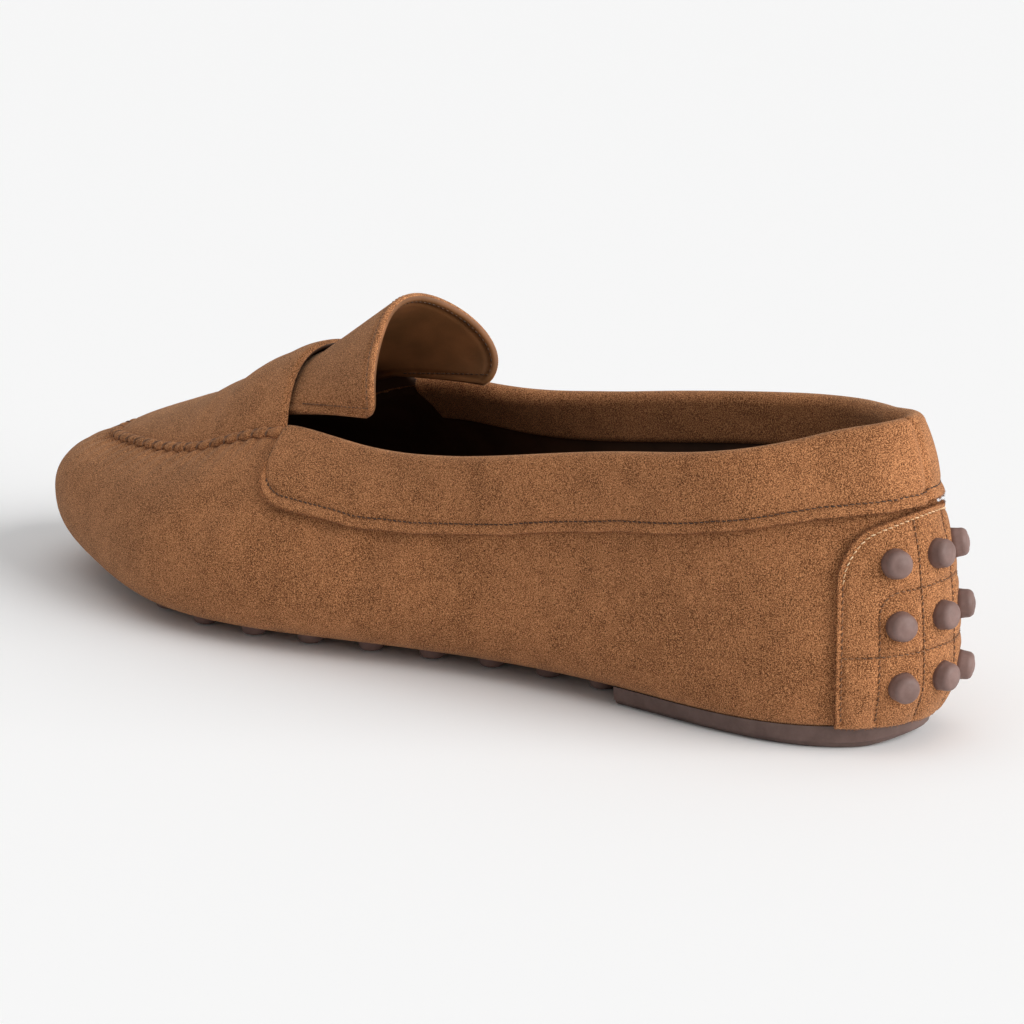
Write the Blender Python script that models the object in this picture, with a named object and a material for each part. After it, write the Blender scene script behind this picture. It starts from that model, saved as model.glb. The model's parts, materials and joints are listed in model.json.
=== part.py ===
"""A driving moccasin, left shoe, as the pieces that its maker puts together.

+X is the inner side of the foot, +Y is the toe, +Z is up. Lengths are in metres.
The suede upper wraps under the foot. Rubber studs stick out through holes in it,
under the foot and up the back of the heel, and a rubber pad carries the heel.
Every piece takes its shape from one function, wall(), which is the outside of the
suede on the last, so that the pieces follow it when a size changes.
"""

import math
from collections import namedtuple

import bmesh
import bpy
import numpy as np
from mathutils import Vector

# The last: the outside of the suede
LENGTH = 0.284
HEEL_WIDTH = 0.0575
WAIST_WIDTH = 0.067
BALL_WIDTH = 0.101
BACK_HEIGHT = 0.0760
SIDE_HEIGHT = 0.0565
THROAT_HEIGHT = 0.0555
TOE_HEIGHT = 0.0365
BULGE_HEIGHT = 0.016
TOE_SPRING = 0.0085
HEEL_ROCKER = 0.0016
HEEL_ROCKER_LENGTH = 0.045
CORNER_POWER = 2.25
CORNER_SHARE = 0.40

# Thicknesses and clearances
WALL = 0.0020
GAP = 0.0003
BAND_WALL = 0.0013
PATCH_WALL = 0.0014
PLATE_WALL = 0.0012
INSOLE_WALL = 0.0025
INSOLE_RAMP = 0.018
INSOLE_RAMP_GAP = 0.012
TONGUE_WALL = 0.0022

# The plug on top of the foot, and its raised hand-sewn seam
PLUG_CROWN_THROAT_SHARE = 0.60
PLUG_CROWN_TOE_SHARE = 0.22
THROAT_BOW = 0.010
SEAM_RISE = 0.0012
SEAM_WIDTH = 0.0035
SEAM_EASE = 0.012

# The band that is folded over the top edge
BAND_DROP = 0.0160
BAND_TURN_IN = 0.0100
BAND_END = 0.0012
BAND_GAP = 0.00045

# The suede patch on the back of the heel
PATCH_HALF = 0.0268
PATCH_CORNER = 0.0085
PATCH_TOP_GAP = 0.0010
PATCH_SIDE_FALL = 0.0050
PATCH_FOOT_SHARE = 0.13
PLATE_MARGIN = 0.0065
PLATE_LIP = 0.0012

# Rubber studs
STUD_RADIUS = 0.0035
STUD_ROUND = 0.0012
HEEL_STUD_STAND = 0.0029
HEEL_STUD_PITCH = 0.0115
HEEL_STUD_SPREAD_SHARE = 0.06
HEEL_STUD_DROOP = 0.0007
HEEL_STUD_LOWEST = 0.0178
HEEL_STUD_TOP_GAP = 0.0108
HEEL_STUD_ROWS = 3
SOLE_STUD_STAND = 0.0040
SOLE_STUD_STEP = 0.0165
SOLE_STUD_SPACING = 0.0152
HOLE_REACH = 0.0060
PLATE_TOE_GAP = 0.0220
PLATE_EDGE = 0.0012

# The heel pad
PAD_THICKNESS = 0.0040
PAD_LENGTH = 0.0775
PAD_EDGE_SHARE = 0.10
PAD_DRAFT = 0.0010
PAD_BEVEL_LENGTH = 0.0125
PAD_BEVEL_RISE = 0.0050
STUDS_START = 0.0885

# The tongue, which stands up behind the throat
TONGUE_REACH = 0.0290
TONGUE_RISE = 0.0195
TONGUE_LEAN = 0.67
TONGUE_ROOT_SHARE = 0.86
TONGUE_SIDE_GAP = 0.0012
TONGUE_TURN_DEGREES = 97.4
TONGUE_FLARE = 0.0027
TONGUE_FLAT_SHARE = 0.35
TONGUE_ARCH = 0.0250
TONGUE_CORNER = 0.0160

# Steps in each direction
REAR_STEPS = 19
FRONT_STEPS = 12
WALL_ROWS = (0.0, 0.10, 0.22, 0.40, 0.55, 0.68, 0.79, 0.90, 1.0)
PLUG_COLUMNS = (-1.0, -0.90, -0.62, -0.32, 0.0, 0.32, 0.62, 0.90, 1.0)

WIDTHS = {"heel": HEEL_WIDTH, "waist": WAIST_WIDTH, "ball": BALL_WIDTH}
HEIGHTS = {
    "back": BACK_HEIGHT,
    "side": SIDE_HEIGHT,
    "throat": THROAT_HEIGHT,
    "toe": TOE_HEIGHT,
}

# One row for each section of the last, from the back of the heel to the tip of the toe.
# along is a share of LENGTH. outer, inner, seat_in, rim_outer and rim_inner are shares of
# the width named, lift is a share of TOE_SPRING and bulge of BULGE_HEIGHT. top_outer and
# top_inner are shares of the height named. fullness says how high the side stays upright
# before it leans in.
Section = namedtuple(
    "Section",
    "width along outer inner seat_in lift bulge height top_outer top_inner rim_outer rim_inner fullness",
)
SECTIONS = (
    Section("heel", 0.000, 0.000, 0.000, 0.150, 0.00, 0.92, "back", 1.000, 1.000, 0.155, 0.155, 0.45),
    Section("heel", 0.018, 0.250, 0.250, 0.140, 0.00, 0.93, "back", 0.992, 0.994, 0.164, 0.164, 0.45),
    Section("heel", 0.067, 0.430, 0.430, 0.112, 0.00, 0.96, "back", 0.960, 0.972, 0.176, 0.176, 0.48),
    Section("heel", 0.134, 0.500, 0.492, 0.100, 0.00, 1.00, "back", 0.902, 0.938, 0.054, 0.054, 0.50),
    Section("waist", 0.260, 0.455, 0.452, 0.150, 0.00, 1.08, "side", 1.110, 1.190, 0.018, 0.020, 0.50),
    Section("waist", 0.385, 0.485, 0.470, 0.160, 0.00, 1.12, "side", 0.998, 1.095, 0.012, 0.030, 0.50),
    Section("ball", 0.530, 0.422, 0.398, 0.110, 0.00, 1.10, "throat", 0.935, 1.035, 0.137, 0.122, 0.55),
    Section("ball", 0.635, 0.490, 0.462, 0.095, 0.00, 1.02, "throat", 0.950, 1.015, 0.222, 0.196, 0.57),
    Section("ball", 0.755, 0.487, 0.500, 0.088, 0.02, 0.94, "toe", 1.240, 1.250, 0.222, 0.228, 0.64),
    Section("ball", 0.880, 0.360, 0.455, 0.090, 0.33, 0.86, "toe", 1.080, 1.085, 0.180, 0.190, 0.72),
    Section("ball", 0.965, 0.215, 0.325, 0.100, 0.76, 0.78, "toe", 1.015, 1.015, 0.172, 0.178, 0.76),
    Section("ball", 1.000, -0.060, 0.060, 0.110, 1.00, 0.74, "toe", 1.000, 1.000, 0.172, 0.172, 0.78),
)
THROAT_ROW = 7


def periodic_spline(knots, values):
    """A smooth closed curve through values at knots, with a period of 1, as a function of u."""
    count = len(knots)
    step = np.diff(np.append(knots, 1.0 + knots[0]))
    ahead = np.roll(values, -1, axis=0)
    slope = (ahead - values) / step[:, None]
    matrix = np.zeros((count, count))
    for row in range(count):
        before = (row - 1) % count
        matrix[row, before] += step[before]
        matrix[row, row] += 2.0 * (step[before] + step[row])
        matrix[row, (row + 1) % count] += step[row]
    bend = np.linalg.solve(matrix, 6.0 * (slope - np.roll(slope, 1, axis=0)))
    bend_ahead = np.roll(bend, -1, axis=0)

    def at(u):
        u = np.mod(np.asarray(u, float), 1.0)
        place = np.clip(np.searchsorted(knots, u, side="right") - 1, 0, count - 1)
        part = (u - knots[place])[..., None]
        width = step[place][..., None]
        rest = width - part
        curve = (bend[place] * rest**3 + bend_ahead[place] * part**3) / (6.0 * width)
        line = (values[place] / width - bend[place] * width / 6.0) * rest
        line_ahead = (ahead[place] / width - bend_ahead[place] * width / 6.0) * part
        return curve + line + line_ahead

    return at


def section_values(row, side):
    """x, y, seat inset, base height, bulge height, rim inset, rim height and fullness of one section."""
    width = WIDTHS[row.width]
    out = -row.outer if side < 0 else row.inner
    rim_in = row.rim_outer if side < 0 else row.rim_inner
    top = row.top_outer if side < 0 else row.top_inner
    rocker = HEEL_ROCKER * max(0.0, 1.0 - row.along * LENGTH / HEEL_ROCKER_LENGTH)
    base = PAD_THICKNESS + row.lift * TOE_SPRING + rocker
    return (
        out * width,
        row.along * LENGTH,
        row.seat_in * width,
        base,
        row.bulge * BULGE_HEIGHT,
        rim_in * width,
        top * HEIGHTS[row.height],
        row.fullness,
    )


def last_curve():
    """The spline of the sections right round the shoe, its length, and u at the toe and the throat."""
    outer = [section_values(row, -1) for row in SECTIONS]
    inner = [section_values(row, 1) for row in SECTIONS[1:-1]]
    values = np.array(outer + inner[::-1])
    loop = np.vstack([values, values[:1]])
    chords = np.hypot(np.diff(loop[:, 0]), np.diff(loop[:, 1]))
    knots = np.append(0.0, np.cumsum(chords))
    around = knots[-1]
    knots = knots[:-1] / around
    toe = len(SECTIONS) - 1
    throats = (knots[THROAT_ROW], knots[2 * toe - THROAT_ROW])
    return periodic_spline(knots, values), around, knots[toe], throats


LAST, AROUND, TOE_U, (THROAT_OUTER_U, THROAT_INNER_U) = last_curve()


def wall_point(u, v):
    """A point of the suede's outside: u goes round from the back of the heel, v up from the sole."""
    x, y, seat_in, base, bulge, rim_in, rim, fullness = np.moveaxis(LAST(u), -1, 0)
    small = 1e-4
    ahead = LAST(u + small)[..., :2] - LAST(u - small)[..., :2]
    length = np.hypot(ahead[..., 0], ahead[..., 1])
    inward_x = ahead[..., 1] / length
    inward_y = -ahead[..., 0] / length
    turn = np.clip(v / CORNER_SHARE, 0.0, 1.0) * math.pi / 2
    climb = np.clip((v - CORNER_SHARE) / (1.0 - CORNER_SHARE), 0.0, 1.0)
    power = 2.0 / CORNER_POWER
    inset = seat_in * (1.0 - np.sin(turn) ** power) + rim_in * climb**2
    rise = rim - base - bulge
    z = base + bulge * (1.0 - np.abs(np.cos(turn)) ** power)
    z = z + rise * (2.0 * fullness * climb * (1.0 - climb) + climb**2)
    return np.stack([x + inward_x * inset, y + inward_y * inset, z], axis=-1)


def wall_normal(u, v):
    """The direction straight out of the suede at u and v."""
    small = 2e-3
    along = wall_point(u + small, v) - wall_point(u - small, v)
    up = wall_point(u, np.minimum(v + small, 1.0)) - wall_point(u, np.maximum(v - small, 0.0))
    normal = np.cross(up, along)
    return normal / np.linalg.norm(normal, axis=-1, keepdims=True)


def wall(u, v, out=0.0):
    """A point that stands out from the suede's outside by out, or lies inside it if out is negative."""
    u, v = np.broadcast_arrays(np.asarray(u, float), np.asarray(v, float))
    out = np.asarray(out, float)[..., None]
    return wall_point(u, v) + wall_normal(u, v) * out


def v_at_height(u, height, out=0.0):
    """The v at which the surface that stands out by out reaches a height."""
    tries = np.linspace(0.0, 1.0, 121)
    u = np.atleast_1d(np.asarray(u, float))
    height = np.broadcast_to(height, u.shape)
    found = [np.interp(h, wall(np.full(121, a), tries, out)[:, 2], tries) for a, h in zip(u, height)]
    return np.array(found)


def u_at_arc(arc):
    """The u that lies a distance arc along the outline from the back, positive towards the outside."""
    tries = np.linspace(-0.25, 0.25, 401)
    points = LAST(tries)[:, :2]
    steps = np.hypot(*np.diff(points, axis=0).T)
    distance = np.append(0.0, np.cumsum(steps))
    distance -= np.interp(0.0, tries, distance)
    return np.interp(arc, distance, tries)


def u_at_length(y, side):
    """The u on one side, -1 outer or 1 inner, at which the outline is a distance y from the back."""
    outer = np.linspace(0.0, TOE_U, 301)
    tries = outer if side < 0 else np.linspace(1.0, TOE_U, 301)
    return np.interp(y, LAST(tries)[:, 1], tries)


def loop_samples():
    """u at each step round the shoe, on the outer side and on the inner side, both from back to toe."""
    def half(start, throat):
        rear = 1.0 - np.cos(np.linspace(0.0, 1.15, REAR_STEPS + 1))
        rear = rear / rear[-1]
        front = np.sin(np.linspace(0.0, 1.25, FRONT_STEPS + 1))
        front = front / front[-1]
        first = start + (throat - start) * (0.45 * rear + 0.55 * np.linspace(0.0, 1.0, REAR_STEPS + 1))
        second = throat + (TOE_U - throat) * (0.45 * front + 0.55 * np.linspace(0.0, 1.0, FRONT_STEPS + 1))
        first[-2] = throat - math.copysign(BAND_END / AROUND, throat - start)
        return np.append(first[:-1], second)

    outer = half(0.0, THROAT_OUTER_U)
    inner = half(1.0, THROAT_INNER_U)
    return outer, inner


def thicken(front, back, faces):
    """Points and faces of the closed solid between two sheets with the same faces."""
    count = len(front)
    points = np.vstack([front, back])
    whole = [tuple(face) for face in faces]
    whole += [tuple(index + count for index in reversed(face)) for face in faces]
    used = {}
    for face in faces:
        for a, b in zip(face, face[1:] + face[:1]):
            used[(a, b)] = True
    for a, b in used:
        if (b, a) not in used:
            whole.append((b, a, a + count, b + count))
    return points, whole


def grid_faces(rows, columns, start=0):
    """Faces of a grid of points stored row by row, facing the side from which rows go up and columns left."""
    faces = []
    for row in range(rows - 1):
        for column in range(columns - 1):
            a = start + row * columns + column
            faces.append((a, a + columns, a + columns + 1, a + 1))
    return faces


def sheet_normals(points, faces):
    """The direction straight out of a sheet at each of its points."""
    normals = np.zeros_like(points)
    for face in faces:
        corners = points[list(face)]
        if len(face) == 3:
            area = np.cross(corners[1] - corners[0], corners[2] - corners[0])
        else:
            area = np.cross(corners[2] - corners[0], corners[3] - corners[1])
        for index in face:
            normals[index] += area
    return normals / np.linalg.norm(normals, axis=1, keepdims=True)


def smooth_step(x):
    x = np.clip(x, 0.0, 1.0)
    return x * x * (3.0 - 2.0 * x)


def plug_rung(outer_end, inner_end, forward):
    """Points across the plug between two points of its seam. forward is 0 at the throat and 1 at the toe."""
    w = np.array(PLUG_COLUMNS[1:-1])[:, None]
    middle = (outer_end + inner_end) / 2
    half = (inner_end - outer_end) / 2
    points = middle + half * w
    crown_fall = PLUG_CROWN_THROAT_SHARE - PLUG_CROWN_TOE_SHARE
    crown = PLUG_CROWN_THROAT_SHARE - crown_fall * smooth_step(forward * 1.4)
    round_off = (1.0 - w[:, 0] ** 2) ** 0.8
    points[:, 2] += crown * np.linalg.norm(half[:2]) * round_off
    points[:, 1] += THROAT_BOW * (1.0 - forward) ** 2 * (1.0 - w[:, 0] ** 2)
    return points


def upper_sheets():
    """The outside and the inside of the upper, and their faces."""
    outer_u, inner_u = loop_samples()
    steps = REAR_STEPS + FRONT_STEPS
    around = np.append(outer_u, inner_u[-2:0:-1])
    rows = np.array(WALL_ROWS)
    u, v = np.meshgrid(around, rows, indexing="ij")
    v = v.copy()
    seam = np.clip((LAST(around)[:, 1] - LAST(THROAT_OUTER_U)[1]) / SEAM_EASE, 0.0, 1.0)
    side = LAST(around)[:, 6] - LAST(around)[:, 3] - LAST(around)[:, 4]
    seam_start = 1.0 - (1.0 - CORNER_SHARE) * SEAM_WIDTH / (side * 1.25)
    v[:, -2] = WALL_ROWS[-2] + (seam_start - WALL_ROWS[-2]) * seam
    outside = wall(u, v)
    inside = wall(u, v, -WALL)
    outside[:, -1] += wall_normal(around, np.ones_like(around)) * (SEAM_RISE * seam)[:, None]

    columns = len(rows)
    total = len(around)
    front = list(outside.reshape(-1, 3))
    back = list(inside.reshape(-1, 3))
    faces = []
    for i in range(total):
        ahead = (i + 1) % total
        for k in range(columns - 1):
            a, b = i * columns + k, ahead * columns + k
            faces.append((a, a + 1, b + 1, b))

    def other(j):
        return (total - j) % total

    for j in range(steps):
        ladder = [j, j + 1, other(j + 1), other(j)]
        corners = tuple(dict.fromkeys(index * columns for index in ladder))
        faces.append(corners)

    plug = {}
    plain = wall(around, np.ones_like(around))
    for j in range(REAR_STEPS, steps + 1):
        ends = (j * columns + columns - 1, other(j) * columns + columns - 1)
        if j == steps:
            plug[j] = [ends[0]]
            continue
        forward = (j - REAR_STEPS) / FRONT_STEPS
        start = len(front)
        rung = plug_rung(plain[j], plain[other(j)], forward)
        front.extend(rung)
        back.extend(rung)
        plug[j] = [ends[0], *range(start, start + len(rung)), ends[1]]
    plug_faces = []
    for j in range(REAR_STEPS, steps):
        near, far = plug[j], plug[j + 1]
        for c in range(len(near) - 1):
            if len(far) == 1:
                plug_faces.append((near[c], near[c + 1], far[0]))
            else:
                plug_faces.append((near[c], near[c + 1], far[c + 1], far[c]))
    front, back = np.array(front), np.array(back)
    added = total * columns
    normals = sheet_normals(front, faces + plug_faces)
    back[added:] = front[added:] - normals[added:] * WALL
    return front, back, faces + plug_faces


def new_object(name, points, faces, material):
    """A mesh object from points and faces, shaded smooth where its faces meet gently."""
    mesh = bpy.data.meshes.new(name)
    mesh.from_pydata([tuple(p) for p in points], [], faces)
    mesh.validate()
    made = bpy.data.objects.new(name, mesh)
    bpy.context.scene.collection.objects.link(made)
    if material:
        mesh.materials.append(material)
    mesh.shade_smooth()
    mesh.set_sharp_from_angle(angle=math.radians(40))
    return made


def new_material(name, colour, roughness):
    """A Principled material. colour is linear."""
    made = bpy.data.materials.new(name)
    made.use_nodes = True
    shader = made.node_tree.nodes["Principled BSDF"]
    shader.inputs["Base Color"].default_value = (*colour, 1.0)
    shader.inputs["Roughness"].default_value = roughness
    shader.inputs["Metallic"].default_value = 0.0
    return made


def cut_or_join(target, tool, operation):
    """A Boolean of target with tool, which is a helper that isn't part of the shoe."""
    tool.hide_render = True
    tool.display_type = "WIRE"
    change = target.modifiers.new(operation.title(), "BOOLEAN")
    change.operation = operation
    change.solver = "EXACT"
    change.object = tool


def studs(name, places, sides, profile):
    """One mesh of turned studs from (centre, axis) places and a (radius, height) profile."""
    built = bmesh.new()
    for centre, axis in places:
        axis = axis / np.linalg.norm(axis)
        across = np.cross(axis, (0.0, 1.0, 0.0) if abs(axis[2]) > 0.8 else (0.0, 0.0, 1.0))
        across = across / np.linalg.norm(across)
        third = np.cross(axis, across)
        rings = []
        for radius, height in profile:
            angles = [2.0 * math.pi * (s + 0.5) / sides for s in range(sides)]
            ring = []
            for a in angles:
                spoke = across * math.cos(a) + third * math.sin(a)
                ring.append(built.verts.new(centre + axis * height + spoke * radius))
            rings.append(ring)
        built.faces.new(list(reversed(rings[0])))
        built.faces.new(rings[-1])
        for low, high in zip(rings, rings[1:]):
            for s in range(sides):
                t = (s + 1) % sides
                built.faces.new((low[s], low[t], high[t], high[s]))
    mesh = bpy.data.meshes.new(name)
    built.to_mesh(mesh)
    built.free()
    made = bpy.data.objects.new(name, mesh)
    bpy.context.scene.collection.objects.link(made)
    return made


def stud_profile(root, top):
    """A stud's turned profile from its root in the plate to its bevelled top."""
    return (
        (STUD_RADIUS, root),
        (STUD_RADIUS, top - STUD_ROUND),
        (STUD_RADIUS - STUD_ROUND * 0.8, top),
    )


def hole_profile(low, high):
    """The cutter of a stud's hole."""
    return ((STUD_RADIUS + GAP, low), (STUD_RADIUS + GAP, high))


def sole_ladder(start, end):
    """u of the outer and the inner side at the steps of the upper, from start to end along the shoe."""
    outer_u, inner_u = loop_samples()
    middle = (LAST(outer_u)[:, 1] + LAST(inner_u)[:, 1]) / 2
    keep = (middle > start) & (middle < end)
    ends = []
    for side, samples in ((-1, outer_u), (1, inner_u)):
        edge = [u_at_length(y, side) for y in (start, end) if 0.0 < y < LAST(TOE_U)[1]]
        ends.append(np.sort(np.append(samples[keep], edge)))
    return ends[0], ends[1][::-1]


def plate_edges():
    """The outer and the inner edge of the plate under the foot, level with the underside of the suede."""
    outer, inner = sole_ladder(STUDS_START - 2.0 * STUD_RADIUS, LENGTH - PLATE_TOE_GAP)
    low, high = wall(outer, 0.0), wall(inner, 0.0)
    across = high - low
    across = across / np.linalg.norm(across, axis=1, keepdims=True) * PLATE_EDGE
    return low + across, high - across


def sole_stud_places():
    """Centre on the underside of the suede, and axis, of each stud under the foot."""
    outer, inner = plate_edges()
    margin = STUD_RADIUS + GAP
    last_row = min(outer[-1, 1], inner[-1, 1]) - margin
    rows = int((last_row - STUDS_START) / SOLE_STUD_STEP) + 1
    places = []
    for row in range(rows):
        y = STUDS_START + row * SOLE_STUD_STEP
        near = y + STUD_RADIUS * np.array((-1.0, 0.0, 1.0))
        low = np.interp(near, outer[:, 1], outer[:, 0]).max() + margin
        high = np.interp(near, inner[:, 1], inner[:, 0]).min() - margin
        heights = (np.interp(near, outer[:, 1], outer[:, 2]) + np.interp(near, inner[:, 1], inner[:, 2])) / 2
        slope = (heights[2] - heights[0]) / (near[2] - near[0])
        count = max(2, round((high - low) / SOLE_STUD_SPACING) + 1)
        for x in np.linspace(low, high, count):
            places.append((np.array([x, y, heights[1]]), np.array([0.0, slope, -1.0])))
    return places


def make_upper(material, holes):
    """The suede body, with the plug, as one hollow piece that wraps under the foot."""
    points, faces = thicken(*upper_sheets())
    made = new_object("upper", points, faces, material)
    cutter = studs("stud_holes", holes, 8, hole_profile(-HOLE_REACH, HOLE_REACH))
    cut_or_join(made, cutter, "DIFFERENCE")
    return made


def band_profile(u):
    """The band's inner face at u, up the outside, over the edge and down the inside, with its normals."""
    x, y, seat_in, base, bulge, rim_in, rim, fullness = LAST(u)
    rise = rim - base - bulge
    run = 1.0 - CORNER_SHARE
    low = 1.0 - run * BAND_DROP / rise
    turned = 1.0 - run * BAND_TURN_IN / rise
    points, normals = [], []
    for v in np.linspace(low, 1.0, 4):
        points.append(wall(u, v, BAND_GAP))
        normals.append(wall_normal(np.array(u), np.array(v)))
    out = normals[-1]
    up = wall_point(np.array(u), np.array(1.0)) - wall_point(np.array(u), np.array(0.98))
    up = up / np.linalg.norm(up)
    middle = wall(u, 1.0, -WALL / 2)
    for turn in np.radians((45, 90, 135)):
        spoke = out * math.cos(turn) + up * math.sin(turn)
        points.append(middle + spoke * (WALL / 2 + GAP))
        normals.append(spoke)
    for v in np.linspace(1.0, turned, 3):
        points.append(wall(u, v, -WALL - BAND_GAP))
        normals.append(-wall_normal(np.array(u), np.array(v)))
    return np.array(points), np.array(normals)


def make_band(material):
    """The suede band that is folded over the top edge and runs round the opening from throat to throat."""
    outer_u, inner_u = loop_samples()
    path = np.append(inner_u[REAR_STEPS - 1 : 0 : -1] - 1.0, outer_u[:REAR_STEPS])
    near, far = [], []
    for u in path:
        points, normals = band_profile(u)
        near.extend(points)
        far.extend(points + normals * BAND_WALL)
    columns = len(near) // len(path)
    faces = [tuple(reversed(face)) for face in grid_faces(len(path), columns)]
    points, faces = thicken(np.array(far), np.array(near), faces)
    return new_object("collar_band", points, faces, material)


def patch_top(arc):
    """Height of the patch's top edge at a distance arc from the back."""
    u = u_at_arc(arc)
    values = LAST(u)
    rise = values[..., 6] - values[..., 3] - values[..., 4]
    low = 1.0 - (1.0 - CORNER_SHARE) * (BAND_DROP + PATCH_TOP_GAP) / rise
    band_edge = wall(u, low)[..., 2]
    share = np.abs(arc) / PATCH_HALF
    fall = PATCH_SIDE_FALL * share**2
    corner = np.clip((np.abs(arc) - PATCH_HALF + PATCH_CORNER) / PATCH_CORNER, 0.0, 1.0)
    return band_edge - fall - PATCH_CORNER * (1.0 - np.sqrt(1.0 - corner**2))


def heel_stud_places():
    """Centre on the suede, and axis, of each stud on the back of the heel."""
    places = []
    highest = patch_top(0.0) - HEEL_STUD_TOP_GAP
    for row, height in enumerate(np.linspace(HEEL_STUD_LOWEST, highest, HEEL_STUD_ROWS)):
        for column in (-1, 0, 1):
            u = u_at_arc(column * HEEL_STUD_PITCH * (1.0 + HEEL_STUD_SPREAD_SHARE * row))
            v = v_at_height(u, height - HEEL_STUD_DROOP * abs(column))[0]
            places.append((wall(u, v), wall_normal(np.array(u), np.array(v))))
    return places


def make_heel_patch(material, holes):
    """The suede patch that is stitched over the back of the heel, with a hole for each stud."""
    ease = np.linspace(-1.0, 1.0, 17)
    arcs = PATCH_HALF * (0.75 * ease + 0.25 * np.sign(ease) * np.abs(ease) ** 0.5)
    levels = np.array([0.0, 0.05, 0.12, 0.22, 0.31, 0.42, 0.60, 0.80, 0.93, 1.0])
    u = u_at_arc(arcs)
    top = v_at_height(u, patch_top(arcs))
    v = PATCH_FOOT_SHARE + (top - PATCH_FOOT_SHARE)[:, None] * levels[None, :]
    u = np.repeat(u[:, None], len(levels), axis=1)
    middle = np.abs(arcs)[:, None] < PATCH_HALF - PLATE_MARGIN * 0.6
    raised = middle & (levels > 0.03)[None, :] & (levels < 0.97)[None, :]
    under = np.where(raised, 2.0 * GAP + PLATE_WALL, GAP)
    near = wall(u, v, under).reshape(-1, 3)
    far = wall(u, v, under + PATCH_WALL).reshape(-1, 3)
    faces = [tuple(reversed(face)) for face in grid_faces(len(arcs), len(levels))]
    points, faces = thicken(far, near, faces)
    made = new_object("heel_patch", points, faces, material)
    cutter = studs("heel_stud_holes", holes, 10, hole_profile(0.0, HOLE_REACH))
    cut_or_join(made, cutter, "DIFFERENCE")
    return made


def make_heel_studs(material, places):
    """The nine studs on the back of the heel, moulded on one thin plate behind the patch."""
    reach = PATCH_HALF - PLATE_MARGIN * 1.6
    arcs = np.linspace(-reach, reach, 13)
    levels = np.linspace(0.0, 1.0, 6)
    u = u_at_arc(arcs)
    top = v_at_height(u, patch_top(arcs) - PLATE_MARGIN)
    low = v_at_height(u, np.full(len(u), HEEL_STUD_LOWEST - STUD_RADIUS - PLATE_LIP))
    v = low[:, None] + (top - low)[:, None] * levels[None, :]
    u = np.repeat(u[:, None], len(levels), axis=1)
    near = wall(u, v, GAP).reshape(-1, 3)
    far = wall(u, v, GAP + PLATE_WALL).reshape(-1, 3)
    faces = [tuple(reversed(face)) for face in grid_faces(len(arcs), len(levels))]
    points, faces = thicken(far, near, faces)
    made = new_object("heel_studs", points, faces, material)
    top_height = 2.0 * GAP + PLATE_WALL + PATCH_WALL + HEEL_STUD_STAND
    shafts = studs("heel_stud_shafts", places, 10, stud_profile(GAP + PLATE_WALL * 0.5, top_height))
    cut_or_join(made, shafts, "UNION")
    return made


def ladder_faces(count):
    """Faces between an outer and an inner row of count points each, which start at the back."""
    return [(j, j + 1, count + j + 1, count + j) for j in range(count - 1)]


def make_sole_studs(material, places):
    """The studs under the foot, moulded on one thin plate that lies inside the suede."""
    outer, inner = plate_edges()
    under = np.vstack([outer, inner])
    under[:, 2] += WALL + GAP
    over = under.copy()
    over[:, 2] += PLATE_WALL
    points, faces = thicken(under, over, ladder_faces(len(outer)))
    made = new_object("sole_studs", points, faces, material)
    root = -(WALL + GAP + PLATE_WALL * 0.5)
    shafts = studs("sole_stud_shafts", places, 8, stud_profile(root, SOLE_STUD_STAND))
    cut_or_join(made, shafts, "UNION")
    return made


def make_heel_pad(material):
    """The rubber pad under the heel, dished to the suede and bevelled up at the back."""
    outer, inner = sole_ladder(0.0, PAD_LENGTH)
    path = np.append(inner[::-1] - 1.0, np.append(0.0, outer))
    total = len(path)
    middle = total // 2
    top = np.vstack([wall(path, PAD_EDGE_SHARE, GAP), wall(path, 0.0, GAP)])
    low = top - np.tile(wall_normal(path, np.full(total, CORNER_SHARE)), (2, 1)) * PAD_DRAFT
    back = np.clip(1.0 - low[:, 1] / PAD_BEVEL_LENGTH, 0.0, 1.0)
    low[:, 2] = PAD_BEVEL_RISE * back**2
    faces = [(i, total + i, total + i + 1, i + 1) for i in range(total - 1)]
    for j in range(middle):
        a, b = middle - j, middle + j
        ladder = [total + a, total + a - 1, total + b + 1, total + b]
        faces.append(tuple(dict.fromkeys(ladder)))
    points, faces = thicken(top, low, faces)
    return new_object("heel_pad", points, faces, material)


def make_insole(material):
    """The leather sock that the foot stands on."""
    outer, inner = loop_samples()
    rows = []
    for u in (outer, inner):
        front = smooth_step((LAST(u)[:, 1] - STUDS_START + INSOLE_RAMP_GAP) / INSOLE_RAMP + 1.0)
        stack = WALL + GAP + front * (PLATE_WALL + GAP)
        base = wall(u, 0.0)[:, 2]
        v = v_at_height(u, base + stack, -WALL - 2.0 * GAP)
        edge = wall(u, v, -WALL - 2.0 * GAP)
        edge[:, 2] = base + stack
        rows.append(edge)
    under = np.vstack([rows[0], rows[1][-2:0:-1]])
    total = len(under)
    faces = []
    for j in range(len(outer) - 1):
        ladder = [j, j + 1, (total - j - 1) % total, (total - j) % total]
        faces.append(tuple(dict.fromkeys(ladder)))
    over = under + np.array([0.0, 0.0, INSOLE_WALL])
    points, faces = thicken(under, over, faces)
    return new_object("insole", points, faces, material)


def opening_sides(y):
    """x of the top edge on the outer and the inner side, at a distance y from the back."""
    ends = []
    for start, throat in ((0.0, THROAT_OUTER_U), (1.0, THROAT_INNER_U)):
        points = wall(np.linspace(start, throat, 61), 1.0)
        ends.append(np.interp(y, points[:, 1], points[:, 0]))
    return ends


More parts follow.
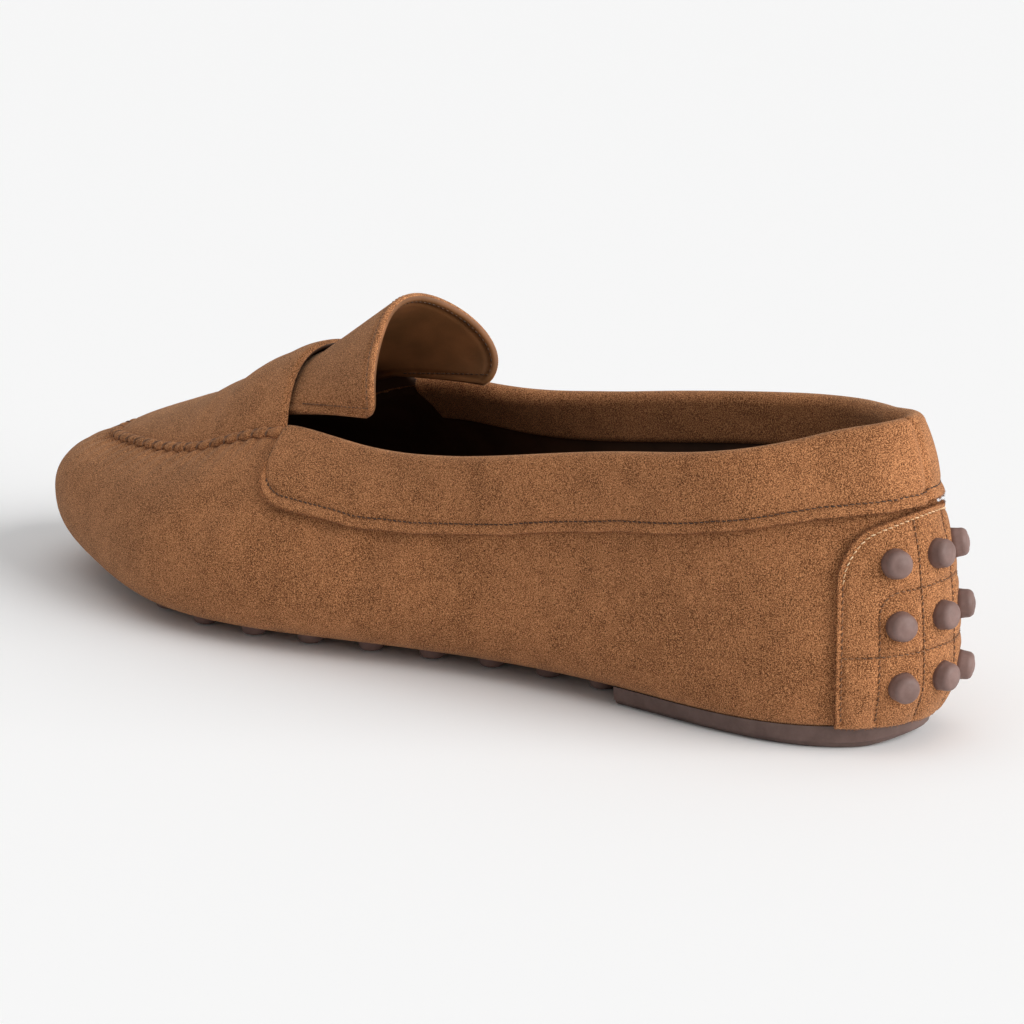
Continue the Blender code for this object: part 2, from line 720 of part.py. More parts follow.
def tongue_root(across):
    """Two rows of points just under the plug: one step in from its back edge, and at that edge."""
    _, inside, _ = upper_sheets()
    steps = REAR_STEPS + FRONT_STEPS
    start = 2 * steps * len(WALL_ROWS)
    width = len(PLUG_COLUMNS) - 2
    rows = []
    for rung in (1, 0):
        first = start + rung * width
        line = inside[first : first + width].copy()
        line[:, 2] -= GAP
        spread = np.interp(line[:, 0], (line[0, 0], line[-1, 0]), (-PLUG_COLUMNS[-2], PLUG_COLUMNS[-2]))
        where = across * TONGUE_ROOT_SHARE
        rows.append(np.stack([np.interp(where, spread, line[:, axis]) for axis in range(3)], axis=-1))
    return rows


def make_tongue(material):
    """The tongue, which starts under the plug at the throat and stands up behind it in an arch."""
    across = np.linspace(-1.0, 1.0, 17)
    deep_row, root = tongue_root(across)
    middle = root[len(root) // 2]
    corner = np.clip((np.abs(across) - TONGUE_FLAT_SHARE) / (1.0 - TONGUE_FLAT_SHARE), 0.0, 1.0)
    setback = TONGUE_CORNER * (1.0 - np.sqrt(1.0 - 0.97 * corner**2))
    turn = across * math.radians(TONGUE_TURN_DEGREES)
    drop = TONGUE_ARCH * (1.0 - np.cos(turn))
    end_y = middle[1] - TONGUE_REACH - TONGUE_LEAN * drop + setback
    low, high = np.array([opening_sides(y) for y in end_y]).T
    wide = (high - low) / 2 - (WALL + GAP + BAND_WALL + TONGUE_SIDE_GAP)
    wide += TONGUE_FLARE * np.sin(math.pi * across**2)
    end_z = middle[2] + TONGUE_RISE - drop
    end = np.stack([(low + high) / 2 + wide * np.sin(turn), end_y, end_z], axis=-1)
    rows = [deep_row]
    for part in np.linspace(0.0, 1.0, 9):
        rows.append(root + (end - root) * part)
    outside = np.array(rows).reshape(-1, 3)
    faces = grid_faces(len(rows), len(across))
    inside = outside - sheet_normals(outside, faces) * TONGUE_WALL
    points, faces = thicken(outside, inside, faces)
    return new_object("tongue", points, faces, material)


def stand_at_origin(pieces):
    """Hangs the pieces from an empty that puts the middle of the shoe's footprint at the origin."""
    bpy.context.view_layer.update()
    graph = bpy.context.evaluated_depsgraph_get()
    corners = np.array([piece.matrix_world @ corner for piece in pieces
                        for corner in map(Vector, piece.evaluated_get(graph).bound_box)])
    low, high = corners.min(axis=0), corners.max(axis=0)
    root = bpy.data.objects.new("shoe", None)
    bpy.context.scene.collection.objects.link(root)
    root.location = (-(low[0] + high[0]) / 2, -(low[1] + high[1]) / 2, 0.0)
    for piece in bpy.data.objects:
        if piece is not root:
            piece.parent = root


def main():
    for old in list(bpy.data.objects):
        bpy.data.objects.remove(old)
    suede = new_material("suede", (0.262, 0.112, 0.045), 0.95)
    rubber = new_material("rubber", (0.095, 0.058, 0.048), 0.60)
    lining = new_material("lining", (0.040, 0.022, 0.012), 0.45)
    sole_places = sole_stud_places()
    heel_places = heel_stud_places()
    pieces = [
        make_upper(suede, sole_places),
        make_band(suede),
        make_heel_patch(suede, heel_places),
        make_heel_studs(rubber, heel_places),
        make_sole_studs(rubber, sole_places),
        make_heel_pad(rubber),
        make_insole(lining),
        make_tongue(suede),
    ]
    stand_at_origin(pieces)


main()
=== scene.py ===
# %% [markdown]
# # A driving moccasin in tan suede
# This lesson dresses one left driving shoe. The solids of the shoe are already there, in metres,
# with +X to the inner side of the foot, +Y to the toe and +Z up. Each cell builds one piece of
# the real shoe over its plain solid, or mixes one of its materials.

# %% Load the frame
import json
import math
from collections import namedtuple

import bmesh
import bpy
import numpy as np
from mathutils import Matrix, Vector

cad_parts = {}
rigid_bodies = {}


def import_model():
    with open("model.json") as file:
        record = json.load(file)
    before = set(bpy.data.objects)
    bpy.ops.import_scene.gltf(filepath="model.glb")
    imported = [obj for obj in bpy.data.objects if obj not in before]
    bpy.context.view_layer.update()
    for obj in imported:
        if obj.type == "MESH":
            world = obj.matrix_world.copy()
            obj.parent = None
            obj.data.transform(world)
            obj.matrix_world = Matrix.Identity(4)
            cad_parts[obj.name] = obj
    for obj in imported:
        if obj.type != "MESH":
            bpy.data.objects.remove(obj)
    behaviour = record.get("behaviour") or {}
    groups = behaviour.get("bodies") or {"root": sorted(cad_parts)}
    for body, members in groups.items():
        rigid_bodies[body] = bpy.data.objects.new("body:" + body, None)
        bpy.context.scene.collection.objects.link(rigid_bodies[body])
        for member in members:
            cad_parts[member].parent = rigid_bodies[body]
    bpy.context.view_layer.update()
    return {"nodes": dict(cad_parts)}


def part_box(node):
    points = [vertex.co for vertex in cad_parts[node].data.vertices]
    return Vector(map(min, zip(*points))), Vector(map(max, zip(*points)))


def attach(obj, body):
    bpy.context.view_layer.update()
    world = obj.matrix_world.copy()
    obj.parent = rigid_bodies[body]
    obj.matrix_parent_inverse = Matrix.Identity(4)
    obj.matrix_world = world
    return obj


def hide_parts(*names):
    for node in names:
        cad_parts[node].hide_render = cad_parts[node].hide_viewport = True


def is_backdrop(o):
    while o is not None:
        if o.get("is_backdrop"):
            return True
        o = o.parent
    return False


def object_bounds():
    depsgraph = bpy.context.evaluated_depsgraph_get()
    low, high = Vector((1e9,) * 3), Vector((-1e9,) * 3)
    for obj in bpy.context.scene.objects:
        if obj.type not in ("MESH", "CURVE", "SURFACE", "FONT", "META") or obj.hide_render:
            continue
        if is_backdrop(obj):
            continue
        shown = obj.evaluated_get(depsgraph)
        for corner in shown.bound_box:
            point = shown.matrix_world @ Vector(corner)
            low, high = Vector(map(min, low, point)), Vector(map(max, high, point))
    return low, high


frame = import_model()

MM = 0.001
print("nodes:", sorted(frame["nodes"]))

# %% [markdown]
# ## The last
# A shoemaker stretches the suede over a last, a solid foot. Its shape could be sculpted, but a
# short table of sections with a smooth closed curve through them is easier to keep in step with
# the solids: it is the same table, so each piece below fits its solid, only with finer steps.

# %% Sizes of the last and its pieces
LENGTH = 284.0 * MM
WIDTHS = {"heel": 57.5 * MM, "waist": 67.0 * MM, "ball": 101.0 * MM}
HEIGHTS = {"back": 76.0 * MM, "side": 56.5 * MM, "throat": 55.5 * MM, "toe": 36.5 * MM}
BULGE_HEIGHT = 16.0 * MM
TOE_SPRING = 8.5 * MM
HEEL_ROCKER = 1.6 * MM
HEEL_ROCKER_LENGTH = 45.0 * MM
CORNER_POWER = 2.25
CORNER_SHARE = 0.40
WALL = 2.0 * MM
GAP = 0.3 * MM
BAND_WALL = 1.3 * MM
BAND_GAP = 0.45 * MM
BAND_DROP = 16.0 * MM
BAND_TURN_IN = 10.0 * MM
BAND_END = 1.2 * MM
PATCH_WALL = 1.4 * MM
PATCH_HALF = 26.8 * MM
PATCH_CORNER = 8.5 * MM
PATCH_TOP_GAP = 1.0 * MM
PATCH_SIDE_FALL = 5.0 * MM
PATCH_FOOT_SHARE = 0.13
PLATE_WALL = 1.2 * MM
STUD_RADIUS = 3.5 * MM
PAD_THICKNESS = 4.0 * MM
PAD_LENGTH = 77.5 * MM
STUDS_START = 88.5 * MM

# %% The table of sections
Section = namedtuple(
    "Section",
    "width along outer inner seat_in lift bulge height top_outer top_inner rim_outer rim_inner fullness",
)
SECTIONS = (
    Section("heel", 0.000, 0.000, 0.000, 0.150, 0.00, 0.92, "back", 1.000, 1.000, 0.155, 0.155, 0.45),
    Section("heel", 0.018, 0.250, 0.250, 0.140, 0.00, 0.93, "back", 0.992, 0.994, 0.164, 0.164, 0.45),
    Section("heel", 0.067, 0.430, 0.430, 0.112, 0.00, 0.96, "back", 0.960, 0.972, 0.176, 0.176, 0.48),
    Section("heel", 0.134, 0.500, 0.492, 0.100, 0.00, 1.00, "back", 0.902, 0.938, 0.054, 0.054, 0.50),
    Section("waist", 0.260, 0.455, 0.452, 0.150, 0.00, 1.08, "side", 1.110, 1.190, 0.018, 0.020, 0.50),
    Section("waist", 0.385, 0.485, 0.470, 0.160, 0.00, 1.12, "side", 0.998, 1.095, 0.012, 0.030, 0.50),
    Section("ball", 0.530, 0.422, 0.398, 0.110, 0.00, 1.10, "throat", 0.935, 1.035, 0.137, 0.122, 0.55),
    Section("ball", 0.635, 0.490, 0.462, 0.095, 0.00, 1.02, "throat", 0.950, 1.015, 0.222, 0.196, 0.57),
    Section("ball", 0.755, 0.487, 0.500, 0.088, 0.02, 0.94, "toe", 1.240, 1.250, 0.222, 0.228, 0.64),
    Section("ball", 0.880, 0.360, 0.455, 0.090, 0.33, 0.86, "toe", 1.080, 1.085, 0.180, 0.190, 0.72),
    Section("ball", 0.965, 0.215, 0.325, 0.100, 0.76, 0.78, "toe", 1.015, 1.015, 0.172, 0.178, 0.76),
    Section("ball", 1.000, -0.060, 0.060, 0.110, 1.00, 0.74, "toe", 1.000, 1.000, 0.172, 0.172, 0.78),
)
THROAT_ROW = 7


# %% A smooth closed curve through the sections
def periodic_spline(knots, values):
    """A smooth closed curve through values at knots, with a period of 1, as a function of u."""
    count = len(knots)
    step = np.diff(np.append(knots, 1.0 + knots[0]))
    ahead = np.roll(values, -1, axis=0)
    slope = (ahead - values) / step[:, None]
    matrix = np.zeros((count, count))
    for row in range(count):
        before = (row - 1) % count
        matrix[row, before] += step[before]
        matrix[row, row] += 2.0 * (step[before] + step[row])
        matrix[row, (row + 1) % count] += step[row]
    bend = np.linalg.solve(matrix, 6.0 * (slope - np.roll(slope, 1, axis=0)))
    bend_ahead = np.roll(bend, -1, axis=0)

    def at(u):
        u = np.mod(np.asarray(u, float), 1.0)
        place = np.clip(np.searchsorted(knots, u, side="right") - 1, 0, count - 1)
        part = (u - knots[place])[..., None]
        width = step[place][..., None]
        rest = width - part
        curve = (bend[place] * rest**3 + bend_ahead[place] * part**3) / (6.0 * width)
        line = (values[place] / width - bend[place] * width / 6.0) * rest
        line_ahead = (ahead[place] / width - bend_ahead[place] * width / 6.0) * part
        return curve + line + line_ahead

    return at


def section_values(row, side):
    """x, y, seat inset, base height, bulge height, rim inset, rim height and fullness of a section."""
    width = WIDTHS[row.width]
    out = -row.outer if side < 0 else row.inner
    rim_in = row.rim_outer if side < 0 else row.rim_inner
    top = row.top_outer if side < 0 else row.top_inner
    rocker = HEEL_ROCKER * max(0.0, 1.0 - row.along * LENGTH / HEEL_ROCKER_LENGTH)
    base = PAD_THICKNESS + row.lift * TOE_SPRING + rocker
    bulge = row.bulge * BULGE_HEIGHT
    rim = top * HEIGHTS[row.height]
    return (out * width, row.along * LENGTH, row.seat_in * width, base, bulge, rim_in * width, rim,
            row.fullness)


outer_values = [section_values(row, -1) for row in SECTIONS]
inner_values = [section_values(row, 1) for row in SECTIONS[1:-1]]
around_values = np.array(outer_values + inner_values[::-1])
closed = np.vstack([around_values, around_values[:1]])
lengths = np.append(0.0, np.cumsum(np.hypot(np.diff(closed[:, 0]), np.diff(closed[:, 1]))))
AROUND = lengths[-1]
knots = lengths[:-1] / AROUND
LAST = periodic_spline(knots, around_values)
TOE = len(SECTIONS) - 1
TOE_U = knots[TOE]
THROAT_OUTER_U = knots[THROAT_ROW]
THROAT_INNER_U = knots[2 * TOE - THROAT_ROW]
print("outline of the last in mm:", round(AROUND / MM, 1))


# %% [markdown]
# ## From the outline to a skin
# Every piece of suede lies on or near one skin. `wall` gives a point of it: u runs round the
# shoe from the back of the heel over the outer side to the toe and back, v climbs from the sole
# to the top edge, and out lifts the point off the skin. The solids use the same function.

# %% The skin of the last
def skin_point(u, v):
    """A point of the skin, before it is moved to its place in the frame."""
    x, y, seat_in, base, bulge, rim_in, rim, fullness = np.moveaxis(LAST(u), -1, 0)
    small = 1e-4
    ahead = LAST(u + small)[..., :2] - LAST(u - small)[..., :2]
    length = np.hypot(ahead[..., 0], ahead[..., 1])
    turn = np.clip(v / CORNER_SHARE, 0.0, 1.0) * math.pi / 2
    climb = np.clip((v - CORNER_SHARE) / (1.0 - CORNER_SHARE), 0.0, 1.0)
    power = 2.0 / CORNER_POWER
    inset = seat_in * (1.0 - np.sin(turn) ** power) + rim_in * climb**2
    z = base + bulge * (1.0 - np.abs(np.cos(turn)) ** power)
    z = z + (rim - base - bulge) * (2.0 * fullness * climb * (1.0 - climb) + climb**2)
    return np.stack([x + ahead[..., 1] / length * inset, y - ahead[..., 0] / length * inset, z], axis=-1)


outline_u, outline_v = np.meshgrid(np.linspace(0.0, 1.0, 721), np.linspace(0.0, 1.0, 81), indexing="ij")
outline = skin_point(outline_u, outline_v).reshape(-1, 3)
upper_low, upper_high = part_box("upper")
shift = (np.array(upper_low) + np.array(upper_high) - outline.min(0) - outline.max(0)) / 2
PLACE = np.array([shift[0], shift[1], 0.0])
print("the last stands at, in mm:", np.round(PLACE / MM, 2))


def wall_normal(u, v):
    """The direction straight out of the skin at u and v."""
    small = 2e-3
    along = skin_point(u + small, v) - skin_point(u - small, v)
    up = skin_point(u, np.minimum(v + small, 1.0)) - skin_point(u, np.maximum(v - small, 0.0))
    normal = np.cross(up, along)
    return normal / np.linalg.norm(normal, axis=-1, keepdims=True)


def wall(u, v, out=0.0):
    """A point that stands out from the skin by out, in the frame."""
    u, v = np.broadcast_arrays(np.asarray(u, float), np.asarray(v, float))
    out = np.asarray(out, float)[..., None]
    return skin_point(u, v) + wall_normal(u, v) * out + PLACE


# %% Finding places on the skin
def u_at_arc(arc):
    """The u at a distance arc along the outline from the back, positive towards the outer side."""
    tries = np.linspace(-0.30, 0.30, 1201)
    steps = np.hypot(*np.diff(LAST(tries)[:, :2], axis=0).T)
    distance = np.append(0.0, np.cumsum(steps))
    distance -= np.interp(0.0, tries, distance)
    return np.interp(arc, distance, tries)


def u_at_length(y, side):
    """The u on one side, -1 outer or 1 inner, at which the outline is a distance y from the back."""
    tries = np.linspace(0.0 if side < 0 else 1.0, TOE_U, 601)
    return np.interp(y, LAST(tries)[:, 1], tries)


def v_at_height(u, height):
    """The v at which the skin reaches a height above the floor."""
    u = np.atleast_1d(np.asarray(u, float))
    tries = np.linspace(0.0, 1.0, 401)
    heights = skin_point(np.repeat(u[:, None], 401, axis=1),
                         np.repeat(tries[None, :], len(u), axis=0))[..., 2]
    goal = np.broadcast_to(height, u.shape)
    return np.array([np.interp(g, row, tries) for g, row in zip(goal, heights)])


def v_below_rim(u, drop):
    """The v at a distance drop below the top edge."""
    values = LAST(u)
    rise = values[..., 6] - values[..., 3] - values[..., 4]
    return 1.0 - (1.0 - CORNER_SHARE) * drop / rise


def smooth_step(x):
    x = np.clip(x, 0.0, 1.0)
    return x * x * (3.0 - 2.0 * x)


print("height of the back in mm:", round(float(wall(0.0, 1.0)[2]) / MM, 1))


# %% [markdown]
# ## Sheets with a thickness
# Leather pieces are sheets. Blender's Solidify modifier could thicken them, but here both faces
# of each sheet are known, so `sheet` joins a front grid and a back grid into one closed mesh,
# and the two are drawn together near a cut edge, which rounds that edge as real suede is.

# %% Helpers for meshes
def finish_mesh(name, points, faces, materials, places=None):
    """An object from points and faces, with its faces turned outwards and shaded smooth."""
    mesh = bpy.data.meshes.new(name)
    mesh.from_pydata(np.asarray(points).tolist(), [], [tuple(face) for face in faces])
    for material in materials:
        mesh.materials.append(material)
    if places is not None:
        mesh.polygons.foreach_set("material_index", places)
    built = bmesh.new()
    built.from_mesh(mesh)
    bmesh.ops.recalc_face_normals(built, faces=built.faces)
    built.to_mesh(mesh)
    built.free()
    mesh.shade_smooth()
    made = bpy.data.objects.new(name, mesh)
    bpy.context.scene.collection.objects.link(made)
    return made


def grid_quads(rows, columns, loop=False):
    """Corner numbers of a grid's faces. A loop joins the last row to the first."""
    index = np.arange(rows * columns).reshape(rows, columns)
    if loop:
        index = np.vstack([index, index[:1]])
    corners = [index[:-1, :-1], index[:-1, 1:], index[1:, 1:], index[1:, :-1]]
    return np.stack(corners, axis=-1).reshape(-1, 4)


def sheet(name, front, back, materials, loop=False):
    """A closed sheet between two grids of points. The back takes the second material."""
    rows, columns = front.shape[:2]
    count = rows * columns
    quads = grid_quads(rows, columns, loop)
    index = np.arange(count).reshape(rows, columns)
    edges = [index[:, 0], index[:, -1]]
    if loop:
        edges = [np.append(edge, edge[0]) for edge in edges]
    else:
        edges += [index[0], index[-1]]
    sides = [np.stack([e[:-1], e[1:], e[1:] + count, e[:-1] + count], axis=-1) for e in edges]
    faces = np.vstack([quads, quads + count, *sides])
    places = np.zeros(len(faces), int)
    places[len(quads) : 2 * len(quads)] = len(materials) - 1
    points = np.vstack([front.reshape(-1, 3), back.reshape(-1, 3)])
    return finish_mesh(name, points, faces, materials, places)


def grid_normals(points):
    """The direction straight out of a grid at each point, rows crossed with columns."""
    down = np.gradient(points, axis=0)
    across = np.gradient(points, axis=1)
    normal = np.cross(down, across)
    return normal / np.linalg.norm(normal, axis=-1, keepdims=True)


def edge_round(distance, radius):
    """How full a sheet is at a distance from its cut edge, 0 at the edge and 1 past the radius."""
    near = np.clip(distance / radius, 0.0, 1.0)
    return np.sqrt(1.0 - (1.0 - near) ** 2)


def noise_1d(places, size, seed):
    """Soft random values between -1 and 1 along places, which change over about one size."""
    random = np.random.default_rng(seed)
    values = random.uniform(-1.0, 1.0, 4096)
    where = np.asarray(places, float) / size
    cell = np.floor(where).astype(int)
    part = smooth_step(where - cell)
    return values[cell % 4096] * (1.0 - part) + values[(cell + 1) % 4096] * part


print("helpers are ready")

# %% [markdown]
# ## Mixing the materials
# Blender's node editor wires materials by hand. In a script one helper is enough: it adds a node,
# sets its values and links its inputs. Colours are written as the sRGB codes that a picture
# editor shows, and turned to the linear values that the shader needs.

# %% Helpers for materials
def linear(code):
    """A linear RGBA colour from an sRGB hex code."""
    parts = [int(code[place : place + 2], 16) / 255 for place in (1, 3, 5)]
    return (*[part / 12.92 if part <= 0.04045 else ((part + 0.055) / 1.055) ** 2.4 for part in parts], 1.0)


def add(tree, kind, settings=None, links=None):
    """A new node. A setting's or link's name is an input's name or number, or else a property."""
    node = tree.nodes.new(kind)
    for name, value in (settings or {}).items():
        if isinstance(name, str) and name not in node.inputs:
            setattr(node, name, value)
        else:
            node.inputs[name].default_value = value
    for name, source in (links or {}).items():
        tree.links.new(source, node.inputs[name])
    return node


def new_material(name):
    """An empty material, its node tree, its shader and the places of a point in metres."""
    material = bpy.data.materials.new(name)
    material.use_nodes = True
    tree = material.node_tree
    shader = tree.nodes["Principled BSDF"]
    place = add(tree, "ShaderNodeTexCoord").outputs["Object"]
    return material, tree, shader, place


print("white is", [round(part, 2) for part in linear("#ffffff")])

# %% [markdown]
# ## Calf suede
# Suede is the inside of a calf hide, sanded until it stands up as a short nap. The nap scatters
# light, so there is no gloss, only a soft sheen where it is seen edge on. Clumps of fibre give a
# fine speckle about 0.4 mm wide, and stroking leaves paler and darker patches 5 to 20 mm wide.
# Hair particles could draw each fibre, but noise in colour and bump shows the same at this size.

# %% Suede
FIBRE_CLUMP = 0.30 * MM
FIBRE = 0.15 * MM
STROKE = 6.0 * MM
PATCH_OF_NAP = 24.0 * MM


def calf_suede(name, dark, pale, deep, tip):
    """Sanded calf: two base colours, and a deep and a tip colour for the fibres, partly their own colour and
    partly painted shade in the bump's hollows and painted highlight on its peaks.
    """
    material, tree, shader, place = new_material(name)
    patches = add(tree, "ShaderNodeTexNoise", {"Scale": 1 / PATCH_OF_NAP, "Detail": 2.0}, {"Vector": place})
    strokes = add(tree, "ShaderNodeTexNoise", {"Scale": 1 / STROKE, "Detail": 3.0, "Roughness": 0.6},
                  {"Vector": place})
    both = add(tree, "ShaderNodeMath", {"operation": "ADD"},
               {0: patches.outputs["Fac"], 1: strokes.outputs["Fac"]})
    tone = add(tree, "ShaderNodeMapRange", {"From Min": 0.84, "From Max": 1.16}, {"Value": both.outputs[0]})
    base = add(tree, "ShaderNodeMix", {"data_type": "RGBA", 6: linear(dark), 7: linear(pale)},
               {0: tone.outputs[0]})
    clumps = add(tree, "ShaderNodeTexNoise", {"Scale": 1 / FIBRE_CLUMP, "Detail": 2.0, "Roughness": 0.6},
                 {"Vector": place})
    fibres = add(tree, "ShaderNodeTexNoise", {"Scale": 1 / FIBRE, "Detail": 1.0}, {"Vector": place})
    pile = add(tree, "ShaderNodeMix", {"data_type": "FLOAT", 0: 0.35},
               {2: clumps.outputs["Fac"], 3: fibres.outputs["Fac"]})
    low = add(tree, "ShaderNodeMapRange", {"From Min": 0.50, "From Max": 0.38}, {"Value": pile.outputs[0]})
    high = add(tree, "ShaderNodeMapRange", {"From Min": 0.51, "From Max": 0.61}, {"Value": pile.outputs[0]})
    # Painted shade: where the pile is low, in the hollows of the bump, the colour turns towards the deep
    # colour.
    shaded = add(tree, "ShaderNodeMix", {"data_type": "RGBA", 7: linear(deep)},
                 {0: low.outputs[0], 6: base.outputs[2]})
    # Painted highlight: where the pile is high, on the peaks of the bump, the colour turns towards the tip
    # colour.
    lit = add(tree, "ShaderNodeMix", {"data_type": "RGBA", 7: linear(tip)},
              {0: high.outputs[0], 6: shaded.outputs[2]})
    relief = add(tree, "ShaderNodeBump", {"Strength": 0.70, "Distance": 0.20 * MM},
                 {"Height": pile.outputs[0]})
    tree.links.new(lit.outputs[2], shader.inputs["Base Color"])
    tree.links.new(relief.outputs["Normal"], shader.inputs["Normal"])
    shader.inputs["Roughness"].default_value = 0.93
    shader.inputs["Specular IOR Level"].default_value = 0.18
    shader.inputs["Sheen Weight"].default_value = 0.25
    shader.inputs["Sheen Roughness"].default_value = 0.45
    shader.inputs["Sheen Tint"].default_value = linear("#e9c8a4")
    return material


suede = calf_suede("tan_calf_suede", "#855231", "#a16842", "#40230f", "#d09362")
edge_suede = calf_suede("raw_suede_edge", "#7a482b", "#965e3a", "#371e0d", "#c88b5c")
print("suede speckle in mm:", round(FIBRE_CLUMP / MM, 2))

# %% [markdown]
# ## Lining leather
# The lining is the smooth side of a thin calf hide, dyed dark brown and glazed a little. It shows
# fine pores and a soft gloss.

# %% Lining
PORE = 0.55 * MM
CLOUD = 15.0 * MM


def smooth_lining(name, dark, pale):
    """Glazed calf with fine pores and soft clouds of dye."""
    material, tree, shader, place = new_material(name)
    clouds = add(tree, "ShaderNodeTexNoise", {"Scale": 1 / CLOUD, "Detail": 3.0}, {"Vector": place})
    tone = add(tree, "ShaderNodeMapRange", {"From Min": 0.35, "From Max": 0.65},
               {"Value": clouds.outputs["Fac"]})
    base = add(tree, "ShaderNodeMix", {"data_type": "RGBA", 6: linear(dark), 7: linear(pale)},
               {0: tone.outputs[0]})
    pores = add(tree, "ShaderNodeTexVoronoi", {"Scale": 1 / PORE, "feature": "SMOOTH_F1"}, {"Vector": place})
    relief = add(tree, "ShaderNodeBump", {"Strength": 0.25, "Distance": 0.08 * MM},
                 {"Height": pores.outputs["Distance"]})
    tree.links.new(base.outputs[2], shader.inputs["Base Color"])
    tree.links.new(relief.outputs["Normal"], shader.inputs["Normal"])
    shader.inputs["Roughness"].default_value = 0.62
    shader.inputs["IOR"].default_value = 1.5
    shader.inputs["Coat Weight"].default_value = 0.03
    shader.inputs["Coat Roughness"].default_value = 0.35
    return material


lining = smooth_lining("dark_glazed_calf", "#3a2516", "#4d3220")
tongue_lining = smooth_lining("brown_glazed_calf", "#6e4622", "#8f5b33")
print("lining pores in mm:", round(PORE / MM, 2))

# %% [markdown]
# ## Rubber
# The studs and the heel pad are moulded natural rubber, purple-brown and matt. The mould leaves a
# very fine grain, and handling leaves a faint dusty bloom.

# %% Rubber and thread
MOULD_GRAIN = 0.35 * MM
BLOOM = 7.0 * MM


def moulded_rubber(name, dark, pale):
    """Matt moulded rubber with a fine grain and a dusty bloom."""
    material, tree, shader, place = new_material(name)
    bloom = add(tree, "ShaderNodeTexNoise", {"Scale": 1 / BLOOM, "Detail": 5.0, "Roughness": 0.65},
                {"Vector": place})
    tone = add(tree, "ShaderNodeMapRange", {"From Min": 0.35, "From Max": 0.65},
               {"Value": bloom.outputs["Fac"]})
    base = add(tree, "ShaderNodeMix", {"data_type": "RGBA", 6: linear(dark), 7: linear(pale)},
               {0: tone.outputs[0]})
    grain = add(tree, "ShaderNodeTexNoise", {"Scale": 1 / MOULD_GRAIN, "Detail": 2.0}, {"Vector": place})
    relief = add(tree, "ShaderNodeBump", {"Strength": 0.30, "Distance": 0.06 * MM},
                 {"Height": grain.outputs["Fac"]})
    tree.links.new(base.outputs[2], shader.inputs["Base Color"])
    tree.links.new(relief.outputs["Normal"], shader.inputs["Normal"])
    shader.inputs["Roughness"].default_value = 0.55
    shader.inputs["IOR"].default_value = 1.52
    shader.inputs["Specular IOR Level"].default_value = 0.35
    return material


rubber = moulded_rubber("matt_brown_rubber", "#6a524b", "#7f655e")
# The heel pad is the same rubber as the studs, painted darker as painted shade for its side low by the
# floor.
rubber_with_painted_shade = moulded_rubber("rubber_darkened_as_painted_shade", "#57433d", "#6b554e")

TWIST = 0.5 * MM


def twisted_thread(name, colour, shade):
    """Waxed polyester thread, whose twist shows as fine slanting stripes."""
    material, tree, shader, place = new_material(name)
    twist = add(tree, "ShaderNodeTexWave", {"Scale": 1 / TWIST / 6.3, "bands_direction": "DIAGONAL"},
                {"Vector": place})
    base = add(tree, "ShaderNodeMix", {"data_type": "RGBA", 6: linear(shade), 7: linear(colour)},
               {0: twist.outputs["Fac"]})
    relief = add(tree, "ShaderNodeBump", {"Strength": 0.5, "Distance": 0.05 * MM},
                 {"Height": twist.outputs["Fac"]})
    tree.links.new(base.outputs[2], shader.inputs["Base Color"])
    tree.links.new(relief.outputs["Normal"], shader.inputs["Normal"])
    shader.inputs["Roughness"].default_value = 0.6
    shader.inputs["IOR"].default_value = 1.55
    return material


dark_thread = twisted_thread("dark_waxed_thread", "#553419", "#341f0e")
brown_thread = twisted_thread("brown_waxed_thread", "#855a37", "#5a3a20")
pale_thread = twisted_thread("pale_waxed_thread", "#e6c8a0", "#bf9568")
print("materials:", [material.name for material in bpy.data.materials if material.users == 0])

# %% [markdown]
# ## Creases
# Suede this soft keeps a few creases where it was pulled over the last and where it bends. They
# could be sculpted. Here each one is listed as a line on the side of the shoe, with a
# width and a depth, and `relief_of_side` sinks a soft trough with a low ridge on each side.

# %% Creases of the sides
Crease = namedtuple("Crease", "side y0 z0 y1 z1 width depth")
CREASES = (
    Crease("outer", 118.0, 50.0, 128.0, 27.0, 4.0, 0.50),
    Crease("outer", 134.0, 49.0, 149.0, 22.0, 4.5, 0.65),
    Crease("outer", 152.0, 47.0, 163.0, 24.0, 3.5, 0.45),
    Crease("outer", 60.0, 30.0, 84.0, 12.0, 6.0, 0.35),
    Crease("outer", 186.0, 42.0, 204.0, 20.0, 5.0, 0.40),
    Crease("inner", 112.0, 52.0, 124.0, 28.0, 4.5, 0.55),
    Crease("inner", 132.0, 50.0, 146.0, 24.0, 4.0, 0.60),
    Crease("inner", 150.0, 47.0, 166.0, 26.0, 3.5, 0.40),
    Crease("inner", 70.0, 33.0, 92.0, 14.0, 6.0, 0.35),
    Crease("inner", 190.0, 40.0, 210.0, 18.0, 5.0, 0.35),
)


def distance_to_line(x, y, x0, y0, x1, y1):
    """How far points are from a line with two ends."""
    long_x, long_y = x1 - x0, y1 - y0
    share = np.clip(((x - x0) * long_x + (y - y0) * long_y) / (long_x**2 + long_y**2), 0.0, 1.0)
    return np.hypot(x - x0 - share * long_x, y - y0 - share * long_y), share


